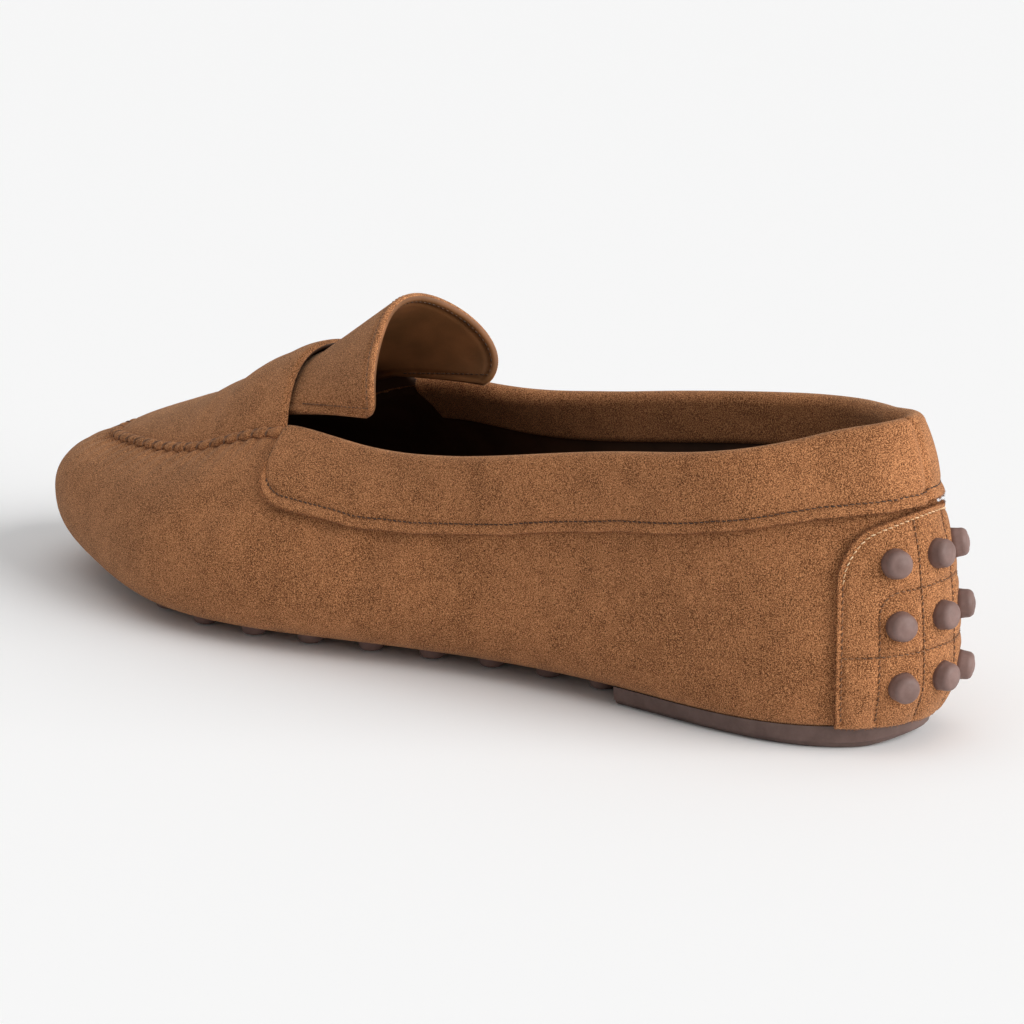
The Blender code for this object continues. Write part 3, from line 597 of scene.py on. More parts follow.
def relief_of_side(u, v):
    """How far the side stands out at u and v, with its creases and a slow unevenness."""
    points = skin_point(u, v) / MM
    outer = u < TOE_U
    total = 0.18 * noise_1d(points[..., 1] + 3.0 * outer, 17.0, 3) * noise_1d(points[..., 2], 12.0, 4)
    for crease in CREASES:
        away, share = distance_to_line(points[..., 1], points[..., 2], crease.y0, crease.z0, crease.y1,
                                       crease.z1)
        ends = np.sin(math.pi * np.clip(share, 0.06, 0.94)) ** 0.7
        trough = -np.exp(-((away / crease.width) ** 2))
        ridge = 0.55 * np.exp(-(((away - 1.9 * crease.width) / crease.width) ** 2))
        side = outer if crease.side == "outer" else ~outer
        total = total + side * crease.depth * ends * (trough + ridge)
    return total * MM


print("creases:", len(CREASES))

# %% [markdown]
# ## The suede body
# One piece of suede wraps up from under the foot, with no separate sole. Its outside takes the
# suede and its inside the dark lining. Near the hand-sewn seam on top it is gathered in small
# pleats, one to each stitch, which fade out down the side.

# %% The body's sides
STITCH_STEP = 5.2 * MM
PLEAT_DEPTH = 0.30 * MM
PLEAT_REACH = 6.0 * MM
BODY_AROUND = 620
body_u = np.linspace(0.0, 1.0, BODY_AROUND, endpoint=False)
body_v = np.append(np.linspace(0.0, CORNER_SHARE, 15)[:-1], np.linspace(CORNER_SHARE, 1.0, 34))
u, v = np.meshgrid(body_u, body_v, indexing="ij")

seam_u = np.linspace(THROAT_OUTER_U, THROAT_INNER_U, 1600)
seam_points = wall(seam_u, 1.0)
seam_length = np.append(0.0, np.cumsum(np.linalg.norm(np.diff(seam_points, axis=0), axis=1)))
stitch_count = int(round(seam_length[-1] / STITCH_STEP))
stitch_phase = np.interp(u, seam_u, seam_length) / seam_length[-1] * stitch_count
on_seam = smooth_step((u - THROAT_OUTER_U) * 60.0) * smooth_step((THROAT_INNER_U - u) * 60.0)
values = LAST(u)
side_height = (values[..., 6] - values[..., 3] - values[..., 4]) * 1.25
below_seam = (1.0 - v) / (1.0 - CORNER_SHARE) * side_height
pleats = np.cos(2.0 * math.pi * stitch_phase) * np.exp(-((below_seam / PLEAT_REACH) ** 1.5))
relief = relief_of_side(u, v) * smooth_step(v * 4.0) + pleats * on_seam * PLEAT_DEPTH
thin = edge_round(below_seam, 1.0 * MM)
body_front = wall(u, v, relief - 0.5 * WALL * (1.0 - thin))
body_back = wall(u, v, -WALL + 0.45 * WALL * (1.0 - thin))
body = sheet("suede_body", body_front, body_back, [suede, lining], loop=True)
print("stitches along the seam:", stitch_count, "faces of the body:", len(body.data.polygons))


# %% The suede under the foot
def across_the_foot(count):
    """u of the outer and the inner side at steps along the shoe, closer together at its ends."""
    share = (1.0 - np.cos(np.linspace(0.0, math.pi, count))) / 2
    share = 0.6 * share + 0.4 * np.linspace(0.0, 1.0, count)
    return share * TOE_U, 1.0 - share * (1.0 - TOE_U)


base_outer, base_inner = across_the_foot(161)
low, high = wall(base_outer, 0.0), wall(base_inner, 0.0)
share = np.linspace(0.0, 1.0, 31)[None, :, None]
base_front = low[:, None] * (1.0 - share) + high[:, None] * share
base_back = base_front + np.array([0.0, 0.0, WALL])
base = sheet("suede_under_foot", base_front, base_back, [suede, lining])
print("length under the foot in mm:", round((low[-1, 1] - low[0, 1]) / MM, 1))

# %% [markdown]
# ## The plug
# The plug is the separate piece on top of the foot, with the raised seam round it. It is a sheet
# across the seam's two sides, crowned in the middle.

# %% The plug's surface
PLUG_CROWN_THROAT_SHARE = 0.60
PLUG_CROWN_TOE_SHARE = 0.22
THROAT_BOW = 10.0 * MM


def plug_point(forward, w):
    """A point of the plug. forward is 0 at the throat and 1 at the toe, w is -1 outer to 1 inner."""
    front = 0.45 * np.sin(1.25 * forward) / math.sin(1.25) + 0.55 * forward
    outer_end = wall(THROAT_OUTER_U + (TOE_U - THROAT_OUTER_U) * front, 1.0)
    inner_end = wall(THROAT_INNER_U + (TOE_U - THROAT_INNER_U) * front, 1.0)
    middle, half = (outer_end + inner_end) / 2, (inner_end - outer_end) / 2
    points = middle + half * w[..., None]
    fall = PLUG_CROWN_THROAT_SHARE - PLUG_CROWN_TOE_SHARE
    crown = PLUG_CROWN_THROAT_SHARE - fall * smooth_step(forward * 1.4)
    points[..., 2] += crown * np.hypot(half[..., 0], half[..., 1]) * (1.0 - w**2) ** 0.8
    points[..., 1] += THROAT_BOW * (1.0 - forward) ** 2 * (1.0 - w**2)
    return points


# %% The plug, with its creases across the bend
PLUG_CREASES = (
    (0.10, 8.0, 1.3, 0.35),
    (0.24, -6.0, 1.6, 0.45),
    (0.38, 5.0, 1.8, 0.40),
)
forward, w = np.meshgrid(np.linspace(0.0, 0.995, 110), np.sin(np.linspace(-1.0, 1.0, 71) * math.pi / 2),
                         indexing="ij")
plug_front = plug_point(forward, w)
normals = -grid_normals(plug_front)
if normals[60, 35, 2] < 0.0:
    normals = -normals
sink = np.zeros_like(w)
for place, slant, width, depth in PLUG_CREASES:
    away = (forward - place - slant * 0.004 * w) * 90.0 / (width * 2.2)
    sink += depth * MM * np.exp(-(away**2)) * (1.0 - w**2) ** 0.5
throat_distance = forward * 95.0 * MM
full = edge_round(throat_distance, 0.9 * MM)[..., None]
plug_front = plug_front + normals * (-sink[..., None] - 0.5 * WALL * (1.0 - full))
plug_back = plug_front - normals * WALL * full
plug = sheet("plug", plug_front, plug_back, [suede, lining])
print("plug length in mm:", round((plug_front[-1, 35, 1] - plug_front[0, 35, 1]) / MM, 1))


# %% [markdown]
# ## The hand-sewn seam
# The plug and the body are sewn edge to edge by hand, so the seam stands up as a rope of leather,
# pinched by each stitch. A bevelled curve would be even, so the rope is a tube along the seam
# whose width changes with each stitch.

# %% Tubes for ropes and threads
def ring_faces(count, steps, sides):
    """Faces of count closed forms, each made of steps rings with sides points, and capped."""
    index = np.arange(count * steps * sides).reshape(count, steps, sides)
    index = np.concatenate([index, index[:, :, :1]], axis=2)
    corners = [index[:, :-1, :-1], index[:, :-1, 1:], index[:, 1:, 1:], index[:, 1:, :-1]]
    faces = np.stack(corners, axis=-1).reshape(-1, 4).tolist()
    return faces + index[:, 0, :-1].tolist() + index[:, -1, :-1].tolist()


def tubes(name, paths, ups, radii, sides, material):
    """One mesh of tubes. paths, ups and radii hold one row for each tube, with as many points each."""
    paths, ups = np.asarray(paths, float), np.asarray(ups, float)
    radii = np.broadcast_to(radii, paths.shape[:2] + (2,) if np.ndim(radii) == 3 else paths.shape[:2])
    if radii.ndim == 2:
        radii = np.stack([radii, radii], axis=-1)
    along = np.gradient(paths, axis=1)
    along /= np.linalg.norm(along, axis=-1, keepdims=True)
    side = np.cross(along, ups)
    side /= np.linalg.norm(side, axis=-1, keepdims=True)
    up = np.cross(side, along)
    angle = np.linspace(0.0, 2.0 * math.pi, sides, endpoint=False)
    ring = (side[:, :, None] * (np.cos(angle)[:, None] * radii[:, :, None, 0:1])
            + up[:, :, None] * (np.sin(angle)[:, None] * radii[:, :, None, 1:2]))
    points = paths[:, :, None] + ring
    faces = ring_faces(paths.shape[0], paths.shape[1], sides)
    return finish_mesh(name, points.reshape(-1, 3), faces, [material])


# %% The rope of the seam
ROPE_WIDTH = 1.9 * MM
ROPE_HEIGHT = 1.5 * MM
rope_u = np.linspace(THROAT_OUTER_U - 0.001, THROAT_INNER_U + 0.001, 900)
rope_path = wall(rope_u, 1.0)
rope_distance = np.append(0.0, np.cumsum(np.linalg.norm(np.diff(rope_path, axis=0), axis=1)))
rope_out = wall_normal(rope_u, np.ones_like(rope_u))
rope_up = rope_out + np.array([0.0, 0.0, 1.6])
rope_up /= np.linalg.norm(rope_up, axis=1, keepdims=True)
rope_phase = rope_distance / rope_distance[-1] * stitch_count
pinch = 0.5 + 0.5 * np.cos(2.0 * math.pi * rope_phase)
swell = 1.0 - 0.26 * pinch + 0.05 * noise_1d(rope_phase, 0.37, 8)
radii = np.stack([ROPE_WIDTH * swell, ROPE_HEIGHT * swell], axis=-1)
rope_path = rope_path + rope_up * 0.2 * MM
rope = tubes("hand_sewn_seam", rope_path[None], rope_up[None], radii[None], 20, suede)
print("length of the seam in mm:", round(rope_distance[-1] / MM, 1))

# %% The stitches over the rope
CROSS_RADIUS = 0.30 * MM
THREAD_SIDES = 8
rope_side = np.cross(np.gradient(rope_path, axis=0), rope_up)
rope_side /= np.linalg.norm(rope_side, axis=1, keepdims=True)
CROSS_POINTS = 11
over = np.radians(np.linspace(-20.0, 200.0, CROSS_POINTS))
cross_paths, cross_ups = [], []
for stitch in range(1, stitch_count):
    at = np.interp(stitch, rope_phase, np.arange(len(rope_phase)))
    here = int(round(at))
    sideways = rope_side[here] * np.cos(over)[:, None] * ROPE_WIDTH
    spokes = sideways + rope_up[here] * np.sin(over)[:, None] * ROPE_HEIGHT
    ahead = rope_path[min(here + 2, len(rope_path) - 1)] - rope_path[here]
    slant = ahead * np.linspace(-1.2, 1.2, CROSS_POINTS)[:, None]
    cross_paths.append(rope_path[here] + spokes * 0.80 + slant)
    cross_ups.append(spokes / np.linalg.norm(spokes, axis=1, keepdims=True))
cross_radii = np.full((len(cross_paths), CROSS_POINTS), CROSS_RADIUS)
cross_threads = tubes("seam_stitches", cross_paths, cross_ups, cross_radii, THREAD_SIDES, brown_thread)
print("stitches over the seam:", len(cross_paths))

# %% [markdown]
# ## The collar band
# A strip of suede is folded over the top edge, from throat to throat, and stitched through just
# above its raw lower edge. The fold is plump, the edge is a little uneven and stands off the
# body, and the stitches pull a shallow groove.

# %% The band round the opening
BAND_STITCH_IN = 2.6 * MM
BAND_PLUMP = 0.55 * MM
GROOVE_DEPTH = 0.50 * MM
GROOVE_WIDTH = 0.75 * MM
THREAD_STEP = 1.5 * MM
BAND_CORNER = 9.0 * MM
EDGE_LIFT = 0.50 * MM
EDGE_LIFT_WIDTH = 1.6 * MM
JOINT_DEPTH = 0.75 * MM
JOINT_WIDTH = 0.7 * MM
band_start = THROAT_INNER_U - 1.0 + BAND_END / AROUND
band_end = THROAT_OUTER_U - BAND_END / AROUND
band_u = np.linspace(band_start, band_end, 620)
edge_points = wall(band_u, 1.0)
band_length = np.append(0.0, np.cumsum(np.linalg.norm(np.diff(edge_points, axis=0), axis=1)))
back_length = np.interp(0.0, band_u, band_length)


def band_edge_drop(u):
    """How far the raw lower edge lies below the top edge: a little uneven, with a step at the back."""
    place = np.interp(u, band_u, band_length)
    uneven = 0.22 * MM * noise_1d(place / MM, 9.0, 11) + 0.08 * MM * noise_1d(place / MM, 1.6, 12)
    step = 0.35 * MM * np.tanh((place - back_length) / (0.4 * MM))
    to_end = np.minimum(place, band_length[-1] - place)
    near_end = np.clip(1.0 - to_end / BAND_CORNER, 0.0, 1.0)
    return BAND_DROP + uneven + step - BAND_CORNER * (1.0 - np.sqrt(1.0 - near_end**2))


def back_joint(u):
    """How deep the joint of the band's two ends is: 1 at the back of the heel, 0 away from it."""
    place = np.interp(u, band_u, band_length) - back_length
    return np.exp(-((place / JOINT_WIDTH) ** 2))


def band_wave(u):
    """How far the band stands off unevenly. Its stitches follow the same wave."""
    return 0.20 * MM * noise_1d(np.interp(u, band_u, band_length) / MM, 14.0, 15)


# %% The band's outer face, fold and inner face
outside_steps = 46
fold_steps = 12
inside_steps = 12
drop_share = 1.0 - np.linspace(0.0, 1.0, outside_steps) ** 1.5
fold_angles = np.radians(np.linspace(0.0, 180.0, fold_steps + 2)[1:-1])
u = np.repeat(band_u[:, None], outside_steps, axis=1)
drop = band_edge_drop(band_u)[:, None] * drop_share
from_edge = band_edge_drop(band_u)[:, None] - drop
v = v_below_rim(u, drop)
above_stitches = np.clip((from_edge - BAND_STITCH_IN) / (BAND_DROP - BAND_STITCH_IN), 0.0, 1.0)
plump = BAND_PLUMP * np.sin(math.pi * above_stitches) ** 0.8
place = np.interp(u, band_u, band_length)
pull = 0.75 + 0.25 * np.cos(2 * math.pi * place / THREAD_STEP)
groove = np.exp(-(((from_edge - BAND_STITCH_IN) / GROOVE_WIDTH) ** 2)) * pull
lip = EDGE_LIFT * np.exp(-((from_edge / EDGE_LIFT_WIDTH) ** 2))
slow = band_wave(u)
ease = smooth_step(np.minimum(place, band_length[-1] - place) / (1.5 * BAND_CORNER))
plump = plump * (0.4 + 0.6 * ease)
lip = lip * (0.3 + 0.7 * ease)
joint = JOINT_DEPTH * back_joint(u)
cut = edge_round(from_edge, 0.7 * MM)
out_face = BAND_GAP + BAND_WALL + plump + lip + slow - GROOVE_DEPTH * groove - joint
band_front = [wall(u, v, out_face - 0.45 * BAND_WALL * (1.0 - cut))]
band_back = [wall(u, v, BAND_GAP + lip * 0.8 + 0.45 * BAND_WALL * (1.0 - cut))]

top = wall(band_u, 1.0)
top_normal = wall_normal(band_u, np.ones_like(band_u))
top_up = skin_point(band_u, np.ones_like(band_u)) - skin_point(band_u, np.full_like(band_u, 0.98))
top_up /= np.linalg.norm(top_up, axis=1, keepdims=True)
middle = (top - top_normal * WALL / 2)[:, None]
spokes = top_normal[:, None] * np.cos(fold_angles)[:, None] + top_up[:, None] * np.sin(fold_angles)[:, None]
fold_radius = WALL / 2 + BAND_GAP + BAND_WALL + 0.35 * MM * np.sin(fold_angles)[None, :]
fold_radius = fold_radius + slow[:, -1:] * np.cos(fold_angles)[None, :].clip(0.0) - joint[:, -1:]
band_front.append(middle + spokes * fold_radius[..., None])
band_back.append(middle + spokes * (WALL / 2 + GAP))

inner_drop = np.linspace(0.0, BAND_TURN_IN, inside_steps)
u = np.repeat(band_u[:, None], inside_steps, axis=1)
v = v_below_rim(u, inner_drop[None, :])
cut = edge_round(BAND_TURN_IN - inner_drop, 0.7 * MM)[None, :]
band_front.append(wall(u, v, -WALL - BAND_GAP - BAND_WALL * (0.5 + 0.5 * cut)))
band_back.append(wall(u, v, -WALL - BAND_GAP * np.ones_like(u) - 0.3 * BAND_WALL * (1.0 - cut)))
band_front = np.concatenate(band_front, axis=1)
band_back = np.concatenate(band_back, axis=1)
band = sheet("folded_collar_band", band_front, band_back, [suede])
print("length of the band in mm:", round(band_length[-1] / MM, 1), "faces:", len(band.data.polygons))

# %% [markdown]
# ## Stitches
# A stitch seen from outside is a short bow of thread between two holes. Each one is a small tube
# that rises out of the suede and dives back, and a seam is a row of them in one mesh.

# %% A row of stitches
def stitches(name, points, normals, step, length, radius, material, skew=0.0):
    """Stitches along a line of surface points, one at each step."""
    points, normals = np.asarray(points), np.asarray(normals)
    distance = np.append(0.0, np.cumsum(np.linalg.norm(np.diff(points, axis=0), axis=1)))
    count = max(1, int(distance[-1] / step))
    centre_at = (np.arange(count) + 0.5) * distance[-1] / count
    shape = np.linspace(-0.5, 0.5, 7)
    where = centre_at[:, None] + shape[None, :] * length
    path = np.stack([np.interp(where, distance, points[:, axis]) for axis in range(3)], axis=-1)
    up = np.stack([np.interp(where, distance, normals[:, axis]) for axis in range(3)], axis=-1)
    up /= np.linalg.norm(up, axis=-1, keepdims=True)
    bow = 0.55 * radius - 2.4 * radius * np.abs(2.0 * shape) ** 4
    along = np.gradient(path, axis=1)
    along /= np.linalg.norm(along, axis=-1, keepdims=True)
    path = path + up * bow[None, :, None] + np.cross(along, up) * (skew * shape)[None, :, None]
    return tubes(name, path, up, np.full(path.shape[:2], radius), THREAD_SIDES, material)


THREAD_RADIUS = 0.17 * MM
line_u = band_u[4:-4]
line_v = v_below_rim(line_u, band_edge_drop(line_u) - BAND_STITCH_IN)
line_out = BAND_GAP + BAND_WALL - GROOVE_DEPTH * 0.50 + band_wave(line_u)
line_points = wall(line_u, line_v, line_out)
line_normals = wall_normal(line_u, line_v)
band_stitches = stitches("collar_band_stitches", line_points, line_normals, THREAD_STEP, 0.72 * THREAD_STEP,
                         THREAD_RADIUS, dark_thread, 0.2 * MM)
print("stitches of the band:", int(band_length[-1] / THREAD_STEP))

# %% [markdown]
# ## Raw edges
# Cut suede frays: short pale fibres stand out all along the raw edge. Hair particles would do it,
# but the model is also exported, so each fibre is a thin blade of two faces in one mesh.

# %% Fibres along a cut edge
FIBRE_HALF_WIDTH = 0.065 * MM


def frayed_edge(name, points, outward, upward, per_mm, length, material, seed):
    """Short fibres that stand out of an edge at random places and angles."""
    random = np.random.default_rng(seed)
    distance = np.append(0.0, np.cumsum(np.linalg.norm(np.diff(points, axis=0), axis=1)))
    count = int(distance[-1] / MM * per_mm)
    where = np.sort(random.uniform(0.0, distance[-1], count))

    def pick(grid):
        return np.stack([np.interp(where, distance, grid[:, axis]) for axis in range(3)], axis=-1)

    out, up = pick(outward), pick(upward)
    roots = pick(points) + up * random.uniform(-0.65, 0.45, (count, 1)) * MM
    roots = roots - out * random.uniform(0.0, 0.5, (count, 1)) * MM
    aim = out * random.uniform(0.3, 1.0, (count, 1)) + up * random.uniform(-0.35, 0.75, (count, 1))
    aim = aim + np.cross(out, up) * random.normal(0.0, 0.45, (count, 1))
    aim /= np.linalg.norm(aim, axis=1, keepdims=True)
    long = length * random.uniform(0.4, 1.0, (count, 1))
    side = np.cross(aim, random.normal(size=(count, 3)))
    side *= FIBRE_HALF_WIDTH / np.linalg.norm(side, axis=1, keepdims=True)
    bend = np.cross(aim, side)
    bend *= random.uniform(-0.3, 0.3, (count, 1)) * long / np.linalg.norm(bend, axis=1, keepdims=True)
    middle = roots + aim * long * 0.55 + bend
    tip = roots + aim * long
    blades = np.stack([roots - side, roots + side, middle + side * 0.8, middle - side * 0.8, tip], axis=1)
    first = np.arange(count)[:, None] * 5
    faces = (first + np.array([0, 1, 2, 3])).tolist() + (first + np.array([3, 2, 4])).tolist()
    return finish_mesh(name, blades.reshape(-1, 3), faces, [material])


edge_u = band_u
edge_v = v_below_rim(edge_u, band_edge_drop(edge_u))
edge_place = wall(edge_u, edge_v, BAND_GAP + BAND_WALL * 0.6 + EDGE_LIFT * 0.8)
edge_out = -(wall(edge_u, edge_v + 0.01) - wall(edge_u, edge_v))
edge_out /= np.linalg.norm(edge_out, axis=1, keepdims=True)
edge_normal = wall_normal(edge_u, edge_v)
band_fray = frayed_edge("collar_band_fray", edge_place, edge_out, edge_normal, 28, 0.95 * MM, edge_suede, 21)
print("faces of the frayed band edge:", len(band_fray.data.polygons))

# %% [markdown]
# ## The heel patch
# A patch of suede covers the plate of studs at the back of the heel. It is stitched round its
# edge and across in a grid between the studs, so it is slightly quilted. Its cut edge is raw.

# %% The patch's outline and its stitch lines
def patch_top(arc):
    """Height of the patch's top edge at a distance arc from the back."""
    u = u_at_arc(arc)
    band_edge = wall(u, v_below_rim(u, BAND_DROP + PATCH_TOP_GAP))[..., 2]
    share = np.abs(arc) / PATCH_HALF
    corner = np.clip((np.abs(arc) - PATCH_HALF + PATCH_CORNER) / PATCH_CORNER, 0.0, 1.0)
    return band_edge - PATCH_SIDE_FALL * share**2 - PATCH_CORNER * (1.0 - np.sqrt(1.0 - corner**2))


HEEL_STUD_PITCH = 11.5 * MM
HEEL_STUD_SPREAD_SHARE = 0.06
HEEL_STUD_DROOP = 0.7 * MM
HEEL_STUD_LOWEST = 17.8 * MM
HEEL_STUD_TOP_GAP = 10.8 * MM
HEEL_STUD_STAND = 2.9 * MM
heel_rows = np.linspace(HEEL_STUD_LOWEST, float(patch_top(np.array(0.0))) - HEEL_STUD_TOP_GAP, 3)
heel_places = []
for row, height in enumerate(heel_rows):
    for column in (-1, 0, 1):
        arc = column * HEEL_STUD_PITCH * (1.0 + HEEL_STUD_SPREAD_SHARE * row)
        heel_places.append((arc, height - HEEL_STUD_DROOP * abs(column)))

PATCH_FOOT_HEIGHT = float(wall(0.0, PATCH_FOOT_SHARE)[2])
BORDER = 1.3 * MM
between = (heel_rows[:-1] + heel_rows[1:]) / 2
panel_side = 17.0 * MM
panel_corner = 5.5 * MM
turn = np.linspace(0.0, math.pi / 2, 9)


def arch_line(side):
    """The inner stitch line: up one side and round a corner to the middle, in arc and height."""
    corner_arc = panel_side - panel_corner + panel_corner * np.cos(turn)
    corner_height = between[1] - panel_corner + panel_corner * np.sin(turn)
    arcs = np.concatenate([[panel_side], corner_arc, [0.0]]) * side
    heights = np.concatenate([[PATCH_FOOT_HEIGHT + BORDER], corner_height, [between[1] + 0.6 * MM]])
    return np.stack([arcs, heights], axis=1)


def resample(line, step):
    """Points along a line at equal steps."""
    distance = np.append(0.0, np.cumsum(np.hypot(*np.diff(line, axis=0).T)))
    where = np.linspace(0.0, distance[-1], max(2, int(distance[-1] / step)))
    return np.stack([np.interp(where, distance, line[:, axis]) for axis in range(2)], axis=1)


border_arcs = np.sin(np.linspace(-1.0, 1.0, 120) * math.pi / 2) * (PATCH_HALF - BORDER)
border_top = patch_top(border_arcs * PATCH_HALF / (PATCH_HALF - BORDER)) - BORDER
border_line = np.concatenate([
    [[border_arcs[0], PATCH_FOOT_HEIGHT + BORDER]],
    np.stack([border_arcs, border_top], axis=1),
    [[border_arcs[-1], PATCH_FOOT_HEIGHT + BORDER]],
])
column_arc = HEEL_STUD_PITCH * 0.5
column_line = np.array([
    (column_arc, PATCH_FOOT_HEIGHT + BORDER),
    (column_arc * 1.1, 50.0 * MM),
    (column_arc * 1.15, 56.0 * MM),
])
row_end = between[0] - 0.8 * MM
patch_lines = {
    "border_top": border_line[1:-1],
    "border_outer": border_line[-2:],
    "border_inner": border_line[:2],
    "arch_outer": arch_line(1.0),
    "arch_inner": arch_line(-1.0),
    "row": np.array([(-PATCH_HALF + BORDER, row_end), (0.0, between[0]), (PATCH_HALF - BORDER, row_end)]),
    "column_outer": column_line,
    "column_inner": column_line * (-1.0, 1.0),
}
patch_lines = {name: resample(line, 0.8 * MM) for name, line in patch_lines.items()}
print("stitch lines of the patch:", list(patch_lines))

# %% The patch's relief
QUILT_WIDTH = 0.8 * MM
PLATE_RISE = 0.5 * MM
PLATE_INSET = 4.0 * MM
PLATE_RAMP = 5.0 * MM
patch_arcs = PATCH_HALF * np.sin(np.linspace(-1.0, 1.0, 171) * math.pi / 2)
patch_u = u_at_arc(patch_arcs)
patch_top_v = v_at_height(patch_u, patch_top(patch_arcs))
levels = np.linspace(0.0, 1.0, 151)
v = PATCH_FOOT_SHARE + (patch_top_v - PATCH_FOOT_SHARE)[:, None] * levels
u = np.repeat(patch_u[:, None], len(levels), axis=1)
flat = np.stack([np.repeat(patch_arcs[:, None], len(levels), axis=1), wall(u, v)[..., 2]], axis=-1)


def nearest(points, line):
    """Distance from each point to the nearest of a line's points."""
    best = np.full(points.shape[:2], 1.0)
    for start in range(0, len(line), 40):
        part = line[start : start + 40]
        best = np.minimum(best, np.linalg.norm(points[:, :, None] - part, axis=-1).min(axis=2))
    return best


outline_loop = np.concatenate([flat[:, 0], flat[-1], flat[::-1, -1], flat[0, ::-1]])
to_edge = nearest(flat, outline_loop)
quilting = sum(np.exp(-((nearest(flat, line) / QUILT_WIDTH) ** 2)) for line in patch_lines.values())
quilting = quilting.clip(0.0, 1.0)
to_line = np.min([nearest(flat, line) for line in patch_lines.values()], axis=0)
studs_near = np.min([np.linalg.norm(flat - place, axis=-1) for place in heel_places], axis=0)
dimple = np.exp(-(((studs_near - STUD_RADIUS) / (1.1 * MM)) ** 2))
plate = smooth_step((to_edge - PLATE_INSET) / PLATE_RAMP)
full = edge_round(to_edge, 0.8 * MM)
out_face = GAP + PATCH_WALL + PLATE_RISE * plate + 0.28 * MM * (1.0 - np.exp(-((to_line / (2.2 * MM)) ** 2)))
lift = 0.22 * MM * np.exp(-((to_edge / (1.5 * MM)) ** 2))
out_face = out_face + lift - 0.45 * MM * quilting - 0.25 * MM * dimple - 0.45 * PATCH_WALL * (1.0 - full)
patch_front = wall(u, v, out_face)
patch_back = wall(u, v, GAP + lift + 0.4 * PATCH_WALL * (1.0 - full))
patch = sheet("heel_patch_suede", patch_front, patch_back, [suede])
print("faces of the patch:", len(patch.data.polygons))

# %% The patch's frayed edge
last_row = len(patch_arcs) - 1
last_level = len(levels) - 1
loop_index = [(row, 0) for row in range(last_row)]
loop_index += [(last_row, level) for level in range(last_level)]
loop_index += [(row, last_level) for row in range(last_row, 0, -1)]
loop_index += [(0, level) for level in range(last_level, -1, -1)]
rows_at, levels_at = np.array(loop_index).T
middle_sheet = (patch_front + patch_back) / 2
patch_rim = middle_sheet[rows_at, levels_at]
patch_up = wall_normal(u[rows_at, levels_at], v[rows_at, levels_at])
along_rim = np.roll(patch_rim, -1, axis=0) - np.roll(patch_rim, 1, axis=0)
patch_out = np.cross(along_rim, patch_up)
patch_out /= np.linalg.norm(patch_out, axis=1, keepdims=True)
if np.sum(patch_out * (patch_rim - patch_rim.mean(0))) < 0.0:
    patch_out = -patch_out
patch_fray = frayed_edge("heel_patch_fray", patch_rim, patch_out, patch_up, 30, 1.1 * MM, edge_suede, 22)
print("faces of the frayed patch edge:", len(patch_fray.data.polygons))

# %% The patch's stitches
patch_threads = []
for name, line in patch_lines.items():
    line_u = u_at_arc(line[:, 0])
    line_v = v_at_height(line_u, line[:, 1])
    on_plate = smooth_step((nearest(line[:, None], outline_loop)[:, 0] - PLATE_INSET) / PLATE_RAMP)
    points = wall(line_u, line_v, GAP + PATCH_WALL + PLATE_RISE * on_plate - 0.20 * MM)
    thread = pale_thread if name == "border_top" else brown_thread
    patch_threads.append(stitches("patch_stitches_" + name, points, wall_normal(line_u, line_v), THREAD_STEP,
                                  0.70 * THREAD_STEP, THREAD_RADIUS * 0.9, thread, 0.25 * MM))
print("rows of patch stitches:", len(patch_threads))

# %% [markdown]
# ## Studs
# The studs are turned forms with a soft rim and a low dome. A lathe, Blender's Screw modifier,
# could make one. Making all of them from one profile in one mesh keeps the file light.

# %% Turned studs
def turned(name, centres, axes, profile, sides, material):
    """One mesh of turned forms. profile holds radius and height from the root to the tip."""
    centres, axes, profile = np.asarray(centres), np.asarray(axes), np.asarray(profile)
    axes = axes / np.linalg.norm(axes, axis=1, keepdims=True)
    helper = np.where(np.abs(axes[:, 2:3]) > 0.8, np.array([[0.0, 1.0, 0.0]]), np.array([[0.0, 0.0, 1.0]]))
    side = np.cross(axes, helper)
    side /= np.linalg.norm(side, axis=1, keepdims=True)
    third = np.cross(axes, side)
    angle = np.linspace(0.0, 2.0 * math.pi, sides, endpoint=False)
    spokes = side[:, None] * np.cos(angle)[:, None] + third[:, None] * np.sin(angle)[:, None]
    rings = centres[:, None, None] + axes[:, None, None] * profile[:, 1][:, None, None]
    points = rings + spokes[:, None] * profile[:, 0][:, None, None]
    faces = ring_faces(len(centres), len(profile), sides)
    return finish_mesh(name, points.reshape(-1, 3), faces, [material])


def stud_profile(root, top):
    """A straight shaft, a soft rim of 1.6 mm and a low dome."""
    rim = 1.6 * MM
    dome = 0.35 * MM
    shoulder = top - dome
    bend = np.linspace(0.0, math.pi / 2, 8)
    points = [(STUD_RADIUS + 0.25 * MM, root), (STUD_RADIUS, root + (shoulder - rim - root) * 0.6)]
    crown = STUD_RADIUS - 0.1 * MM - rim
    points += [(crown + rim * math.cos(a), shoulder - rim + rim * math.sin(a)) for a in bend]
    points += [(crown * s, top - dome * s**2) for s in (0.75, 0.5, 0.25, 0.03)]
    return points


arcs, heights = np.array(heel_places).T
stud_u = u_at_arc(arcs)
stud_v = v_at_height(stud_u, heights)
stud_top = 2.0 * GAP + PLATE_WALL + PATCH_WALL + HEEL_STUD_STAND
heel_studs = turned("heel_studs_rubber", wall(stud_u, stud_v), wall_normal(stud_u, stud_v),
                    stud_profile(GAP + PLATE_WALL, stud_top), 40, rubber)
print("heel studs:", len(heel_places))

